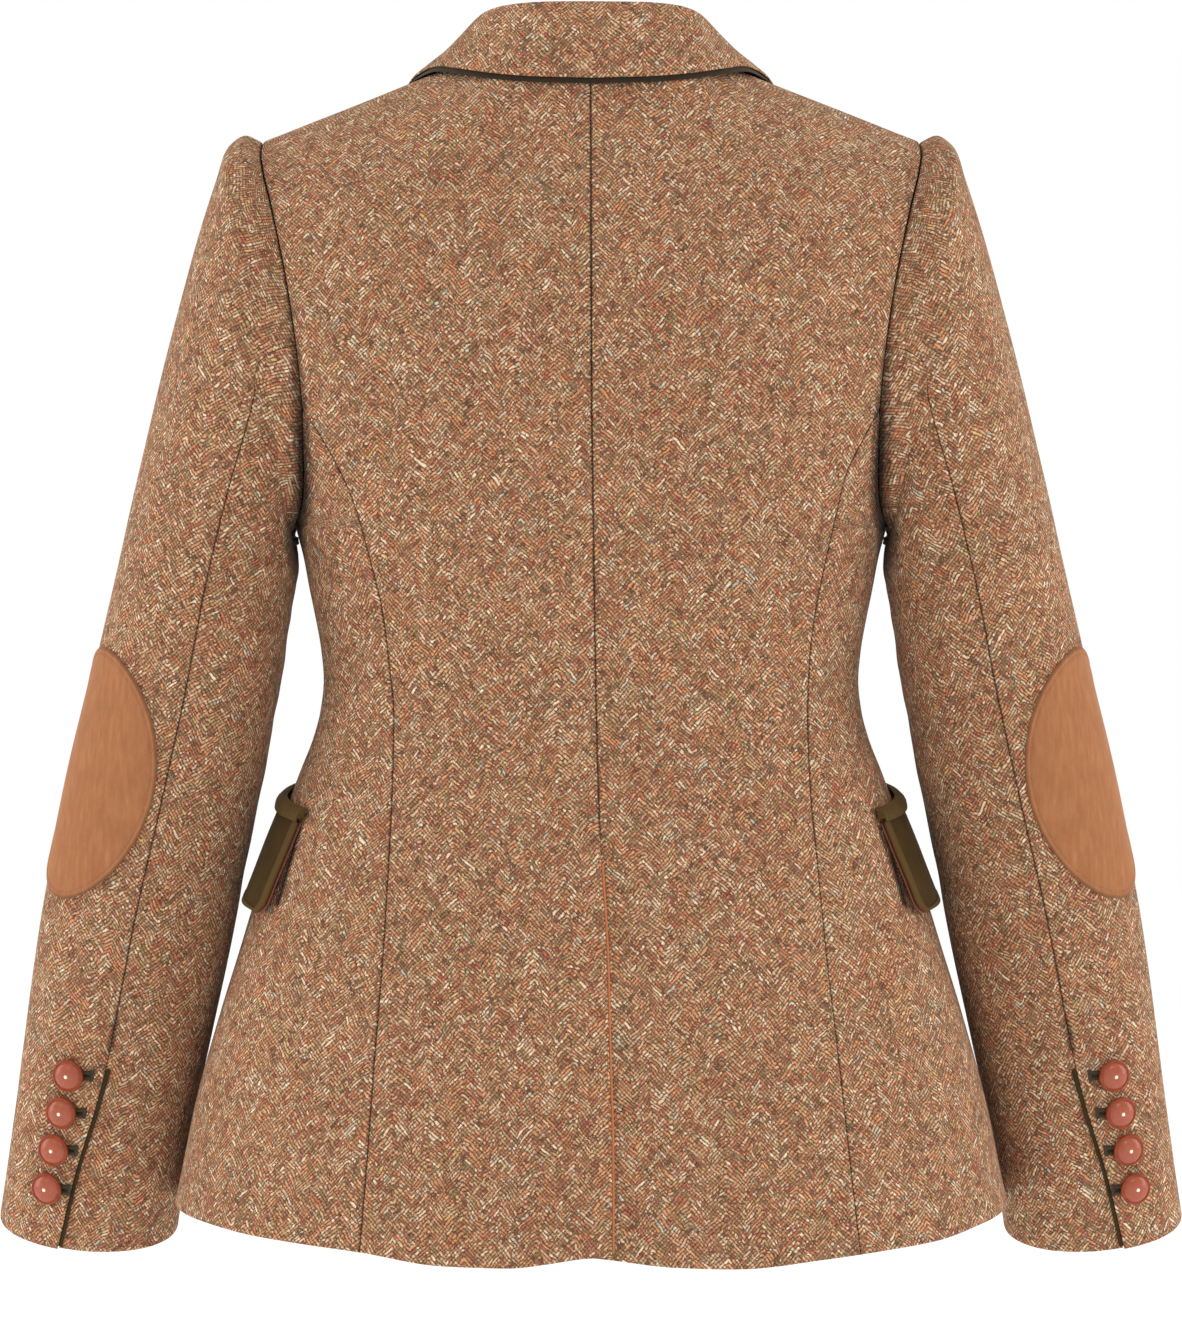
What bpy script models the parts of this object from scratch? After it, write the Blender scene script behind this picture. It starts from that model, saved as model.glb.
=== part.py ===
"""A woman's tweed hacking jacket, filled out as if worn, with no wearer.

The frame: +Z is up, the wearer faces -Y and the wearer's left is +X. The
origin is midway between the two side-neck points, where the jacket hangs from
the wearer's shoulders. Working sizes below are in millimetres.
"""

import math

import bpy
import numpy as np

for old in list(bpy.data.objects):
    bpy.data.objects.remove(old, do_unlink=True)

MM = 0.001            # working millimetres to metres
CLOTH = 1.8           # tweed with its interlining
GAP = 0.18            # half of the gap left at each seam
SUEDE = 1.2           # elbow patch
UNDERARM = -262.0     # height of the underarm point
TIP = -198.0          # where the curved back seam runs into the armhole
SHOULDER_X = 187.0    # shoulder point, half of the shoulder width
NECK_X = 72.0         # side-neck point
SHOULDER_SLOPE = 0.386
VENT_TOP = -438.0     # top of the centre vent
BREAK = -222.0        # where the lapel starts to roll
UNDERLAP = 36.0       # how far the vent's under side runs in

# The body's rings. side: half width; back, front: reach from y = 0 at the
# centre; squareness of the back half and of the front half.
BODY_COLS = ("z", "side", "back", "front", "sq_back", "sq_front")
BODY = (
    (-700, 254.0, 148, 131, 2.35, 2.25),
    (-650, 237.5, 140, 128, 2.35, 2.25),
    (-589, 224.5, 131, 125, 2.35, 2.25),
    (-538, 210.5, 122, 121, 2.35, 2.25),
    (-504, 200.0, 115, 118, 2.35, 2.25),
    (-470, 189.5, 108, 115, 2.35, 2.25),
    (-435, 177.5, 100, 112, 2.35, 2.25),
    (-401, 165.0, 92, 110, 2.35, 2.25),
    (-384, 158.3, 88, 110, 2.35, 2.25),
    (-367, 153.8, 85.5, 111, 2.35, 2.25),
    (-350, 152.0, 84.5, 113, 2.35, 2.25),
    (-333, 153.4, 85.5, 116, 2.35, 2.25),
    (-316, 156.3, 88, 120, 2.40, 2.25),
    (-299, 159.8, 91.5, 124, 2.45, 2.25),
    (-280, 163.4, 95.5, 128, 2.50, 2.25),
    (-262, 168.0, 99, 130, 2.55, 2.22),
    (-247, 170.5, 101.5, 131, 2.60, 2.20),
    (-230, 176.0, 103.5, 130, 2.60, 2.20),
    (-207, 185.5, 105, 125, 2.60, 2.20),
    (-185, 191.5, 105, 118, 2.60, 2.20),
    (-154, 195.0, 103, 107, 2.60, 2.20),
    (-111, 198.0, 95, 91, 2.60, 2.20),
    (-70, 202.0, 81, 74, 2.60, 2.20),
    (-43, 205.0, 68, 62, 2.60, 2.20),
    (0, 206.0, 52, 45, 2.60, 2.20),
    (45, 206.0, 40, 32, 2.60, 2.20),
)

# The shoulder's ridge by half width: y of the ridge, and how far below it the
# cloth still curves over.
RIDGE_COLS = ("x", "y", "reach")
RIDGE = (
    (0, 6, 40), (72, 6, 46), (100, 3, 62), (130, 0, 76), (160, -3, 78), (187, -6, 72),
)

# The armhole by height: half width on the back and on the front.
ARM_COLS = ("z", "x_back", "x_front")
ARMHOLE = (
    (-262, 168.0, 168.0), (-258, 164.6, 165.6), (-252, 162.6, 163.4), (-244, 161.4, 161.6),
    (-230, 160.9, 160.4), (-213, 160.8, 160.2), (-198, 161.2, 160.8),
    (-175, 163.2, 162.4), (-150, 166.4, 165.4), (-125, 170.6, 169.4),
    (-100, 175.8, 174.4), (-80, 180.6, 179.4), (-62, 185.4, 184.4), (-50, 187.4, 187.2),
    (-43, 187.0, 187.0),
)

# The curved seams between the back and the side-back panels, by height.
CURVED_COLS = ("z", "x_left", "x_right")
CURVED = (
    (-198, 161.2, 161.2), (-216, 149.5, 151.5), (-236, 138.5, 141.8), (-256, 130.4, 137.0),
    (-285, 122.6, 130.6), (-312, 116.4, 125.4), (-339, 113.0, 122.4), (-372, 110.0, 121.2),
    (-410, 110.5, 122.2), (-449, 112.0, 125.4), (-499, 114.6, 129.8), (-554, 118.6, 135.8),
    (-609, 122.4, 141.6), (-665, 126.6, 147.4), (-700, 129.0, 150.6),
)

# The centre-back line, by height: a seam down to the vent, then the edge of
# the left back, which laps over the right.
CENTRE_COLS = ("z", "x")
CENTRE = (
    (0, 0.3), (-190, -0.4), (-300, -1.8), (-361, -2.8), (-438, -5.0), (-502, -8.6),
    (-558, -10.0), (-598, -11.2), (-640, -11.4), (-700, -11.4),
)


def curve(rows, column, at):
    """A smooth curve through one column of a table, with no overshoot."""
    x = np.array([r[0] for r in rows], float)
    y = np.array([r[column] for r in rows], float)
    if x[0] > x[-1]:
        x, y = x[::-1], y[::-1]
    h = np.diff(x)
    d = np.diff(y) / h
    m = np.empty_like(y)
    m[0], m[-1] = d[0], d[-1]
    for i in range(1, len(x) - 1):
        m[i] = 0.0 if d[i - 1] * d[i] <= 0 else 2 * d[i - 1] * d[i] / (d[i - 1] + d[i])
    at = np.clip(np.asarray(at, float), x[0], x[-1])
    i = np.clip(np.searchsorted(x, at) - 1, 0, len(h) - 1)
    t = (at - x[i]) / h[i]
    a = (1 + 2 * t) * (1 - t) ** 2
    b = t * (1 - t) ** 2
    c = t * t * (3 - 2 * t)
    e = t * t * (t - 1)
    return a * y[i] + b * h[i] * m[i] + c * y[i + 1] + e * h[i] * m[i + 1]


def ease(t):
    t = np.clip(t, 0.0, 1.0)
    return t * t * (3 - 2 * t)


def ridge_z(x):
    x = np.abs(x)
    return np.where(x > NECK_X, (NECK_X - x) * SHOULDER_SLOPE, (NECK_X - x) * 0.9) + 1.2


def unit(v):
    return v / np.maximum(np.linalg.norm(v, axis=-1, keepdims=True), 1e-9)


# ---- the body's surface: th is 0 at the centre back, pi/2 at the side and pi
# ---- at the centre front, and negative on the wearer's right

def flat_y(ax, z, back):
    """y of the ring at a half width and height, before the shoulder's arch."""
    w = curve(BODY, 1, z)
    d = np.where(back, curve(BODY, 2, z), curve(BODY, 3, z))
    n = np.where(back, curve(BODY, 4, z), curve(BODY, 5, z))
    q = np.clip(1 - np.clip(ax / w, 0, 1) ** n, 0, 1) ** (1 / n)
    return np.where(back, d * q, -d * q)


def arched(ax, z, y):
    yr = curve(RIDGE, 1, ax)
    t = np.clip((ridge_z(ax) - z) / curve(RIDGE, 2, ax), 0, 1)
    return yr + (y - yr) * np.sqrt(1 - (1 - t) ** 2)


def body(th, z):
    th, z = np.broadcast_arrays(np.asarray(th, float), np.asarray(z, float))
    a = np.abs(th)
    back = a <= math.pi / 2
    n = np.where(back, curve(BODY, 4, z), curve(BODY, 5, z))
    ax = curve(BODY, 1, z) * np.clip(np.sin(a), 0, 1) ** (2 / n)
    c = np.abs(np.cos(a)) ** (2 / n)
    y = np.where(back, curve(BODY, 2, z) * c, -curve(BODY, 3, z) * c)
    y = arched(ax, z, y)
    return np.stack([np.sign(th) * ax, y, z], -1)


def body_normal(th, z):
    th, z = np.broadcast_arrays(np.asarray(th, float), np.asarray(z, float))
    p = body(th, z)
    ax = np.abs(p[..., 0])
    back = np.abs(th) <= math.pi / 2
    dth = body(th + 0.004, z) - body(th - 0.004, z)
    dz = body(th, z + 0.5) - body(th, z - 0.5)
    plain = unit(np.cross(dth, dz))
    plain = plain * np.sign((plain * (p * [1, 1, 0])).sum(-1, keepdims=True) + 1e-12)

    # over the shoulder, by half width and by the angle around the arch
    reach = curve(RIDGE, 2, ax)
    t = np.clip((ridge_z(ax) - z) / reach, 0, 1)
    al = np.arccos(1 - t)

    def over(x, angle):
        zz = ridge_z(x) - curve(RIDGE, 2, x) * (1 - np.cos(angle))
        yr = curve(RIDGE, 1, x)
        y = yr + (flat_y(x, zz, back) - yr) * np.sin(angle)
        return np.stack([x, y, zz], -1)

    dx = over(ax + 0.5, al) - over(ax - 0.5, al)
    da = over(ax, al + 0.02) - over(ax, al - 0.02)
    arch = unit(np.cross(dx, da))
    arch = arch * np.where(arch[..., 2:] < 0, -1, 1)
    arch[..., 0] *= np.where(th < 0, -1, 1)
    return np.where((t < 0.96)[..., None], arch, plain)


def theta(x, z, front=False):
    """The ring angle of a half width at a height."""
    n = curve(BODY, 5 if front else 4, z)
    q = np.clip(np.abs(x) / curve(BODY, 1, z), 0, 1) ** (n / 2)
    a = np.arcsin(np.clip(q, 0, 1))
    return np.sign(x) * ((math.pi - a) if front else a)


def to_ridge(th, z, front):
    """Bring the top row's points from the neck outward onto the ridge."""
    x = body(th, z)[..., 0]
    top = ridge_z(x)
    on = np.abs(x) >= NECK_X - 0.4
    z = np.where(on, top, z)
    return np.where(on, theta(x, z, front), th), z


# The hem by ring angle in degrees: its height on the left and on the right.
# It rises a little at the vent and cuts up at the front edges.
HEM_COLS = ("degrees", "z_left", "z_right")
HEM = (
    (0, -663.5, -663.5), (8, -669.2, -668.8), (16, -668.4, -670.0), (28, -662.0, -666.0),
    (40, -658.2, -662.0), (50, -655.4, -659.0), (65, -650.8, -652.4), (90, -646.6, -646.8),
    (110, -647.0, -647.0), (135, -647.0, -647.0), (155, -643.0, -643.0), (180, -626.0, -626.0),
)


def hem(th):
    a = np.degrees(np.clip(np.abs(th), 0, math.pi))
    return np.where(np.asarray(th) >= 0, curve(HEM, 1, a), curve(HEM, 2, a))


# ---- meshes

PARTS = {}


def material(name, colour, rough):
    m = bpy.data.materials.new(name)
    m.use_nodes = True
    b = m.node_tree.nodes["Principled BSDF"]
    b.inputs["Base Color"].default_value = (*colour, 1)
    b.inputs["Roughness"].default_value = rough
    b.inputs["Metallic"].default_value = 0.0
    return m


def solid(name, verts, faces, colour, rough=0.9, smooth=True):
    mesh = bpy.data.meshes.new(name)
    mesh.from_pydata([tuple(v) for v in np.asarray(verts, float) * MM], [], faces)
    if smooth:
        mesh.shade_smooth()
    ob = bpy.data.objects.new(name, mesh)
    ob.data.materials.append(material(name, colour, rough))
    bpy.context.collection.objects.link(ob)
    PARTS[name] = ob
    return ob


def shell(name, outer, normals, quads, thick, colour, rough=0.9):
    """A closed wall: a sheet of quads, its inner side, and its edges."""
    outer = np.asarray(outer, float).reshape(-1, 3)
    inner = outer - np.asarray(normals, float).reshape(-1, 3) * thick
    n = len(outer)
    count = {}
    for q in quads:
        for a, b in zip(q, q[1:] + q[:1]):
            count[(a, b)] = count.get((a, b), 0) + 1
    faces = []
    for q in quads:
        pts = outer[list(q)]
        # each quad is split along its shorter diagonal
        if len(q) == 4 and np.linalg.norm(pts[0] - pts[2]) <= np.linalg.norm(pts[1] - pts[3]):
            tris = [(q[0], q[1], q[2]), (q[0], q[2], q[3])]
        elif len(q) == 4:
            tris = [(q[0], q[1], q[3]), (q[1], q[2], q[3])]
        else:
            tris = [q]
        for t in tris:
            faces.append(t)
            faces.append(tuple(i + n for i in reversed(t)))
    for (a, b) in count:
        if (b, a) not in count:
            faces.append((b, a, a + n))
            faces.append((b, a + n, b + n))
    used = sorted({i for f in faces for i in f})
    at = {v: i for i, v in enumerate(used)}
    verts = np.vstack([outer, inner])[used]
    faces = [tuple(at[i] for i in f) for f in faces]
    # the first quad tells whether the sheet faces out
    q = quads[len(quads) // 2]
    p = outer[list(q)]
    facing = np.cross(p[1] - p[0], p[2] - p[0])
    if facing @ np.asarray(normals, float).reshape(-1, 3)[q[0]] < 0:
        faces = [tuple(reversed(f)) for f in faces]
    return solid(name, verts, faces, colour, rough)


def grid_quads(rows, cols, keep=None, wrap=False):
    out = []
    for j in range(rows - 1):
        for i in range(cols if wrap else cols - 1):
            if keep is None or keep(j, i):
                k = (i + 1) % cols
                out.append((j * cols + i, j * cols + k, (j + 1) * cols + k, (j + 1) * cols + i))
    return out


def even(path, count, inset=(0.0, 0.0)):
    """Points spaced evenly along a path given as (th, z) arrays."""
    th, z = path
    p = body(th, z)
    length = np.concatenate([[0], np.cumsum(np.linalg.norm(np.diff(p, axis=0), axis=1))])
    lo, hi = inset[0], length[-1] - inset[1]
    at = lo + (hi - lo) * np.linspace(0, 1, count)
    return np.interp(at, length, th), np.interp(at, length, z)


def straight(th0, th1, z0, z1, steps=60):
    s = np.linspace(0, 1, steps)
    return th0 + (th1 - th0) * s, z0 + (z1 - z0) * s


def coons(left, right, bottom, top, w, steps=60):
    """One row, at height w, of the patch between four (th, z) sides."""
    s = np.linspace(0, 1, steps)
    out = []
    for k in (0, 1):
        b = np.array([bottom(v)[k] for v in s])
        t = np.array([top(v)[k] for v in s])
        l, r = left(w)[k], right(w)[k]
        corners = ((1 - s) * (1 - w) * bottom(0)[k] + s * (1 - w) * bottom(1)[k]
                   + (1 - s) * w * top(0)[k] + s * w * top(1)[k])
        out.append((1 - w) * b + w * t + (1 - s) * l + s * r - corners)
    return out[0], out[1]


# rows shared by all the panels, up to the underarm
STATIONS = (-612, -562, -512, -468, -432, -402, -376, -350, -324, -296, UNDERARM)
TIP_ROWS = (-247.0, -230.0, -214.0, -203.0)
TWEED = (0.25, 0.13, 0.065)
DARK = (0.045, 0.032, 0.014)


def back_panel(side):
    """side is 1 for the wearer's left, which laps over at the vent."""
    col = 1 if side > 0 else 2
    cols = 8
    rows, lifts, extra = [], [], []
    ext = (UNDERLAP * 0.33, UNDERLAP * 0.66, UNDERLAP) if side < 0 else ()
    levels = ["hem"] + [z for z in STATIONS if z < VENT_TOP - 6]
    if side < 0:
        levels += [VENT_TOP - 6]
    levels += [z for z in STATIONS if z > VENT_TOP] + list(TIP_ROWS) + [TIP]
    grid, norm, keep_ext = [], [], []

    def lift(x, z):
        centre = curve(CENTRE, 1, z)
        down = ease((VENT_TOP + 12 - z) / 14.0)
        if side > 0:
            return 1.25 * down * ease((centre + 36 - x) / 28.0)
        return -down * (1.25 * ease((x - (centre - 15)) / 13.0)
                        + 1.35 * np.clip((x - centre) / 10.0, 0, 1))

    def place(th, z):
        p = body(th, z)
        n = body_normal(th, z)
        return p + n * lift(p[..., 0], z)[..., None], n

    for level in levels:
        z0 = -660.0 if level == "hem" else level
        thc = theta(curve(CENTRE, 1, z0), z0)
        tho = side * abs(theta(curve(CURVED, col, z0), z0))
        th, z = straight(float(thc), float(tho), z0, z0)
        if level == "hem":
            z = hem(th)
        seam = level == "hem" or z0 < VENT_TOP - 1
        th, z = even((th, z), cols, (0.0 if seam and side > 0 else GAP, GAP))
        p, n = place(th, z)
        if ext:
            zz = z[0]
            below = level == "hem" or z0 <= VENT_TOP - 6
            keep_ext.append(below)
            xs = np.array([float(curve(CENTRE, 1, zz)) + e for e in reversed(ext)])
            # under the left back the right back runs on past the centre line
            xs = xs if below else np.full(3, float(p[0][0]))
            the = theta(xs, zz)
            ze = hem(the) if level == "hem" else np.full(3, zz)
            pe, ne = place(the, ze)
            if below:
                p = np.vstack([pe, p])
                n = np.vstack([ne, n])
            else:
                p = np.vstack([np.repeat(p[:1], 3, 0), p])
                n = np.vstack([np.repeat(n[:1], 3, 0), n])
        grid.append(p)
        norm.append(n)

    # the upper back, inside its armhole, shoulder and neckline
    def left(w):
        z = TIP + (-8.0 - TIP) * w
        return float(theta(curve(CENTRE, 1, z) + side * 0.0, z)), z

    def right(w):
        z = TIP + (-43.0 - TIP) * w
        return side * abs(float(theta(curve(ARMHOLE, 1, z), z))), z

    def bottom(s):
        a, b = left(0)[0], right(0)[0]
        return a + (b - a) * s, TIP

    def top(s):
        x = SHOULDER_X * s
        if x < NECK_X:
            z = -8.0 + (float(ridge_z(NECK_X)) + 8.0) * (x / NECK_X) ** 2.2
        else:
            z = float(ridge_z(x))
        return side * abs(float(theta(x, z))), z

    k_rows = 7
    for k in range(1, k_rows + 1):
        w = 1 - (1 - k / k_rows) ** 1.7
        th, z = coons(left, right, bottom, top, w)
        th, z = even((th, z), cols, (GAP, GAP))
        if k == k_rows:
            th, z = to_ridge(th, z, False)
        p = body(th, z)
        n = body_normal(th, z)
        if k == k_rows:
            p = p + np.array([0, 0.36, 0])
        if ext:
            p = np.vstack([np.repeat(p[:1], 3, 0), p])
            n = np.vstack([np.repeat(n[:1], 3, 0), n])
            keep_ext.append(False)
        grid.append(p)
        norm.append(n)
    grid, norm = np.array(grid), np.array(norm)
    nr, nc = grid.shape[:2]
    keep = None
    if ext:
        keep = lambda j, i: i >= 3 or (keep_ext[j] and keep_ext[j + 1])
    name = "back_left" if side > 0 else "back_right"
    shell(name, grid, norm, grid_quads(nr, nc, keep), CLOTH, TWEED)


def side_back(side):
    col = 1 if side > 0 else 2
    cols = 6
    grid, norm = [], []
    for level in ["hem"] + list(STATIONS) + list(TIP_ROWS):
        z0 = -660.0 if level == "hem" else level
        a = abs(float(theta(curve(CURVED, col, z0), z0)))
        b = math.pi / 2
        if z0 > UNDERARM:
            b = abs(float(theta(curve(ARMHOLE, 1, z0), z0)))
        th, z = straight(side * a, side * b, z0, z0)
        if level == "hem":
            z = hem(th)
        th, z = even((th, z), cols, (GAP, GAP))
        grid.append(body(th, z))
        norm.append(body_normal(th, z))
    grid, norm = np.array(grid), np.array(norm)
    name = "side_back_left" if side > 0 else "side_back_right"
    shell(name, grid, norm, grid_quads(len(grid), cols), CLOTH, TWEED)


def front_edge(side, z):
    """x of a front's own edge by height: overlapped, and cut away below."""
    x = -side * 17.0 if z > -430 else -side * (17.0 - 62.0 * float(ease((-430 - z) / 240.0)) ** 1.5)
    if z > BREAK:
        t = min((z - BREAK) / (1.0 - BREAK), 1.0)
        x = side * (-17.0 + (NECK_X + 0.3 + 17.0) * t ** 0.92)
    return x


def front_theta(side, x, z):
    """Ring angle of a signed x on the front, past the centre line too."""
    a = abs(float(theta(abs(x), z, True)))
    return side * (a if x * side >= 0 else 2 * math.pi - a)


def front_body(side, th, z):
    """The body's surface for a front, which may run past the centre line."""
    th = np.asarray(th, float) * side
    over = th > math.pi
    t = np.where(over, 2 * math.pi - th, th)
    p = body(t, z)
    n = body_normal(t, z)
    flip = np.where(over, -1.0, 1.0) * side
    p[..., 0] *= flip
    n[..., 0] *= flip
    return p, n


def front_lift(side, x, z):
    """The right front laps over the left below the break of the lapels."""
    out = 1.3 * ease((BREAK + 66 - z) / 24.0) * ease((54 - np.abs(x)) / 30.0)
    return out if side < 0 else -out


def front_row(side, th, z, cols, inset, last=False):
    p, _ = front_body(side, th, z)
    length = np.concatenate([[0], np.cumsum(np.linalg.norm(np.diff(p, axis=0), axis=1))])
    at = inset[0] + (length[-1] - inset[0] - inset[1]) * np.linspace(0, 1, cols)
    th, z = np.interp(at, length, th), np.interp(at, length, z)
    if last:
        th, z = to_ridge(th, z, True)
    p, n = front_body(side, th, z)
    return p + n * front_lift(side, p[..., 0], z)[..., None], n


def front_panel(side):
    cols = 8
    grid, norm = [], []
    for level in ["hem"] + list(STATIONS):
        z0 = -655.0 if level == "hem" else level
        a = side * math.pi / 2
        b = front_theta(side, front_edge(side, z0), z0)
        th, z = straight(a, b, z0, z0)
        if level == "hem":
            z = hem(th)
        p, n = front_row(side, th, z, cols, (GAP, 0.0))
        grid.append(p)
        norm.append(n)

    def left(w):
        z = UNDERARM + (-43.0 - UNDERARM) * w
        return side * float(theta(curve(ARMHOLE, 2, z), z, True)), z

    def right(w):
        z = UNDERARM + (float(ridge_z(NECK_X + 0.3)) - UNDERARM) * w
        return front_theta(side, front_edge(side, z), z), z

    def bottom(s):
        a, b = left(0)[0], right(0)[0]
        return a + (b - a) * s, UNDERARM

    def top(s):
        x = SHOULDER_X + (NECK_X + 0.3 - SHOULDER_X) * s
        z = float(ridge_z(max(x, NECK_X)))
        return side * float(theta(x, z, True)), z

    k_rows = 9
    for k in range(1, k_rows + 1):
        w = 1 - (1 - k / k_rows) ** 1.6
        th, z = coons(left, right, bottom, top, w)
        p, n = front_row(side, th, z, cols, (GAP, 0.0), k == k_rows)
        if k == k_rows:
            p = p - np.array([0, 0.36, 0])
        grid.append(p)
        norm.append(n)
    grid, norm = np.array(grid), np.array(norm)
    name = "front_left" if side > 0 else "front_right"
    shell(name, grid, norm, grid_quads(len(grid), cols), CLOTH, TWEED)


# ---- sleeves, worked out for the wearer's left and mirrored

# Rings down the sleeve. out, in: outer and inner points in the back view;
# y: centre; depth: half of the ring from front to back; drop: how much lower
# the ring's back is than its middle.
SLEEVE_COLS = ("v", "out_x", "out_z", "in_x", "in_z", "y", "depth", "drop")
SLEEVE = (
    (0, 187.6, -42.6, 168.8, -262.6, 2, 66, 0),
    (8, 195.8, -39.9, 169.4, -265.4, 2, 67, 0),
    (20, 206.2, -46.4, 169.3, -268.2, 2, 68, 0),
    (38, 212.8, -65.0, 168.7, -271.2, 2, 68, 0),
    (68, 221.9, -93.5, 167.7, -275.2, 2, 67, 0),
    (103, 231.6, -127.7, 166.9, -279.8, 2, 66, 0),
    (156, 244.8, -179.0, 166.6, -286, 1, 64, 0),
    (208, 256.8, -230.0, 167.6, -294, 0, 62, 0),
    (262, 268.8, -281.6, 171.0, -311, -1, 60, 0),
    (332, 284.6, -350.0, 178.2, -359, -2, 57, 0),
    (402, 300.8, -418.4, 190.0, -420, -5, 54, 2),
    (472, 314.8, -486.8, 203.0, -486, -12, 51, 4),
    (541, 325.0, -555.2, 217.6, -553, -23, 47, 8),
    (600, 333.8, -612.0, 230.6, -610, -35, 44, 12),
    (648, 341.6, -658.5, 239.0, -666, -45, 41, 14),
)
# Angle of the hind seam round the ring, in degrees, down the sleeve.
SEAM_COLS = ("v", "degrees")
SEAM_BACK = (
    (0, 94.0), (20, 95.5), (50, 99.5), (103, 98.0), (156, 95.8), (208, 94.6), (262, 94.2),
    (330, 94.2), (400, 93.3), (455, 91.3), (500, 90.2), (541, 89.0), (570, 86.5), (610, 80.0),
    (648, 75.5),
)
SEAM_FRONT = -104.0   # angle of the front seam
CUFF_VENT = 541.0     # v of the top of the cuff's vent


def arm_ring(ph):
    """The armhole's own curve, by angle: 0 at the shoulder, pi/2 at the back."""
    ph = np.mod(np.asarray(ph, float), 2 * math.pi)
    back = ph <= math.pi
    c = np.cos(ph)
    z = (-43.0 + UNDERARM) / 2 + (-43.0 - UNDERARM) / 2 * np.sign(c) * np.abs(c) ** 0.86
    x = np.where(back, curve(ARMHOLE, 1, z), curve(ARMHOLE, 2, z))
    tb = theta(x, z)
    tf = theta(x, z, True)
    t = np.where(back, tb, tf)
    return body(t, z), body_normal(t, z)


def sleeve(v, ph):
    """A point of the left sleeve; ph is 0 outside and pi/2 at the back."""
    v, ph = np.broadcast_arrays(np.asarray(v, float), np.asarray(ph, float))
    ox, oz = curve(SLEEVE, 1, v), curve(SLEEVE, 2, v)
    ix, iz = curve(SLEEVE, 3, v), curve(SLEEVE, 4, v)
    c, s = np.cos(ph), np.sin(ph)
    n = 2.15
    cc = np.sign(c) * np.abs(c) ** (2 / n)
    ss = np.sign(s) * np.abs(s) ** (2 / n)
    x = (ox + ix) / 2 + (ox - ix) / 2 * cc
    z = (oz + iz) / 2 + (oz - iz) / 2 * cc - curve(SLEEVE, 7, v) * ss
    y = curve(SLEEVE, 5, v) + curve(SLEEVE, 6, v) * ss
    p = np.stack([x, y, z], -1)
    a, _ = arm_ring(ph)
    a = a + np.stack([np.full(a.shape[:-1], 0.5 + 0.5), 0 * c, 0 * c], -1) * (1 + 0 * c)[..., None]
    k = ease(v / 30.0)[..., None]
    start = np.stack([(187.6 + 169.0) / 2 + (187.6 - 169.0) / 2 * cc,
                      2 + 66 * ss,
                      (-42.6 - 262.6) / 2 + (-42.6 + 262.6) / 2 * cc], -1)
    return p + (a - start) * (1 - k)


def sleeve_normal(v, ph):
    dv = sleeve(np.minimum(v + 2.0, 648.0), ph) - sleeve(np.maximum(v - 2.0, 0.0), ph)
    dp = sleeve(v, ph + 0.03) - sleeve(v, ph - 0.03)
    n = unit(np.cross(dp, dv))
    mid = np.stack([(curve(SLEEVE, 1, v) + curve(SLEEVE, 3, v)) / 2 + 0 * ph,
                    curve(SLEEVE, 5, v) + 0 * ph,
                    (curve(SLEEVE, 2, v) + curve(SLEEVE, 4, v)) / 2 + 0 * ph], -1)
    sign = np.sign((n * (sleeve(v, ph) - mid)).sum(-1, keepdims=True))
    return n * sign


SLEEVE_ROWS = (0, 8, 20, 38, 68, 103, 156, 208, 262, 308, 355, 402, 448, 495, 541, 570, 600, 624, 648)


def hind_seam(v):
    """Angle of the hind seam, which leans outward as the cuff's vent edge."""
    return math.radians(float(curve(SEAM_BACK, 1, v)))


def sleeve_panel(side, upper):
    cols = 11 if upper else 9
    grid, norm = [], []
    for v in SLEEVE_ROWS:
        back, front = hind_seam(v), math.radians(SEAM_FRONT)
        if upper:
            a, b = front, back
        else:
            a, b = back, front + 2 * math.pi
        ph = np.linspace(a, b, 80)
        p = sleeve(np.full(80, float(v)), ph)
        length = np.concatenate([[0], np.cumsum(np.linalg.norm(np.diff(p, axis=0), axis=1))])
        gap = GAP + 0.35 * float(ease(1 - (v - 38.0) / 30.0))
        at = gap + (length[-1] - 2 * gap) * np.linspace(0, 1, cols)
        ph = np.interp(at, length, ph)
        n = sleeve_normal(np.full(cols, float(v)), ph)
        near = ease(1 - np.abs(ph - back) * 48.0 / 17.0) * ease((v - CUFF_VENT) / 14.0)
        lift = (0.9 if upper else -1.3) * near
        grid.append(sleeve(np.full(cols, float(v)), ph) + n * lift[:, None])
        norm.append(n)
    grid, norm = np.array(grid), np.array(norm)
    grid[..., 0] *= side
    norm[..., 0] *= side
    name = ("sleeve_upper_" if upper else "sleeve_under_") + ("left" if side > 0 else "right")
    shell(name, grid, norm, grid_quads(len(grid), cols), CLOTH, TWEED)


# ---- collar. Guide lines from the centre back (s = 0) to a front end
# ---- (s = 1), on the wearer's left: the outer edge of the fall, its middle,
# ---- the roll at the top, the middle of the stand and the neckline
COLLAR_COLS = ("s", "x", "y", "z")
COLLAR_EDGE = (
    (0.00, 0, 62.0, -13.2), (0.16, 32, 61.3, -12.3), (0.28, 54, 55.9, -10.0), (0.38, 74.4, 42.4, -5.6),
    (0.46, 89.2, 21.4, -2.0), (0.54, 99.2, -1.3, -3.8), (0.62, 107.4, -19.4, -12.6),
    (0.72, 112.0, -35.5, -27.2), (0.84, 112.2, -53.0, -47.0), (1.00, 104, -70.4, -72.0),
)
COLLAR_MID = (
    (0.00, 0, 56.6, 11.0), (0.16, 33, 54.9, 10.9), (0.28, 55, 47.0, 10.6), (0.38, 71.4, 32.0, 9.2),
    (0.46, 81.6, 15.4, 7.4), (0.54, 88, -4.0, 5.2), (0.62, 92.5, -21.0, -3.0),
    (0.72, 93.0, -39.5, -16.5), (0.84, 87.5, -60.0, -38.0), (1.00, 78, -73.6, -66.0),
)
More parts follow.
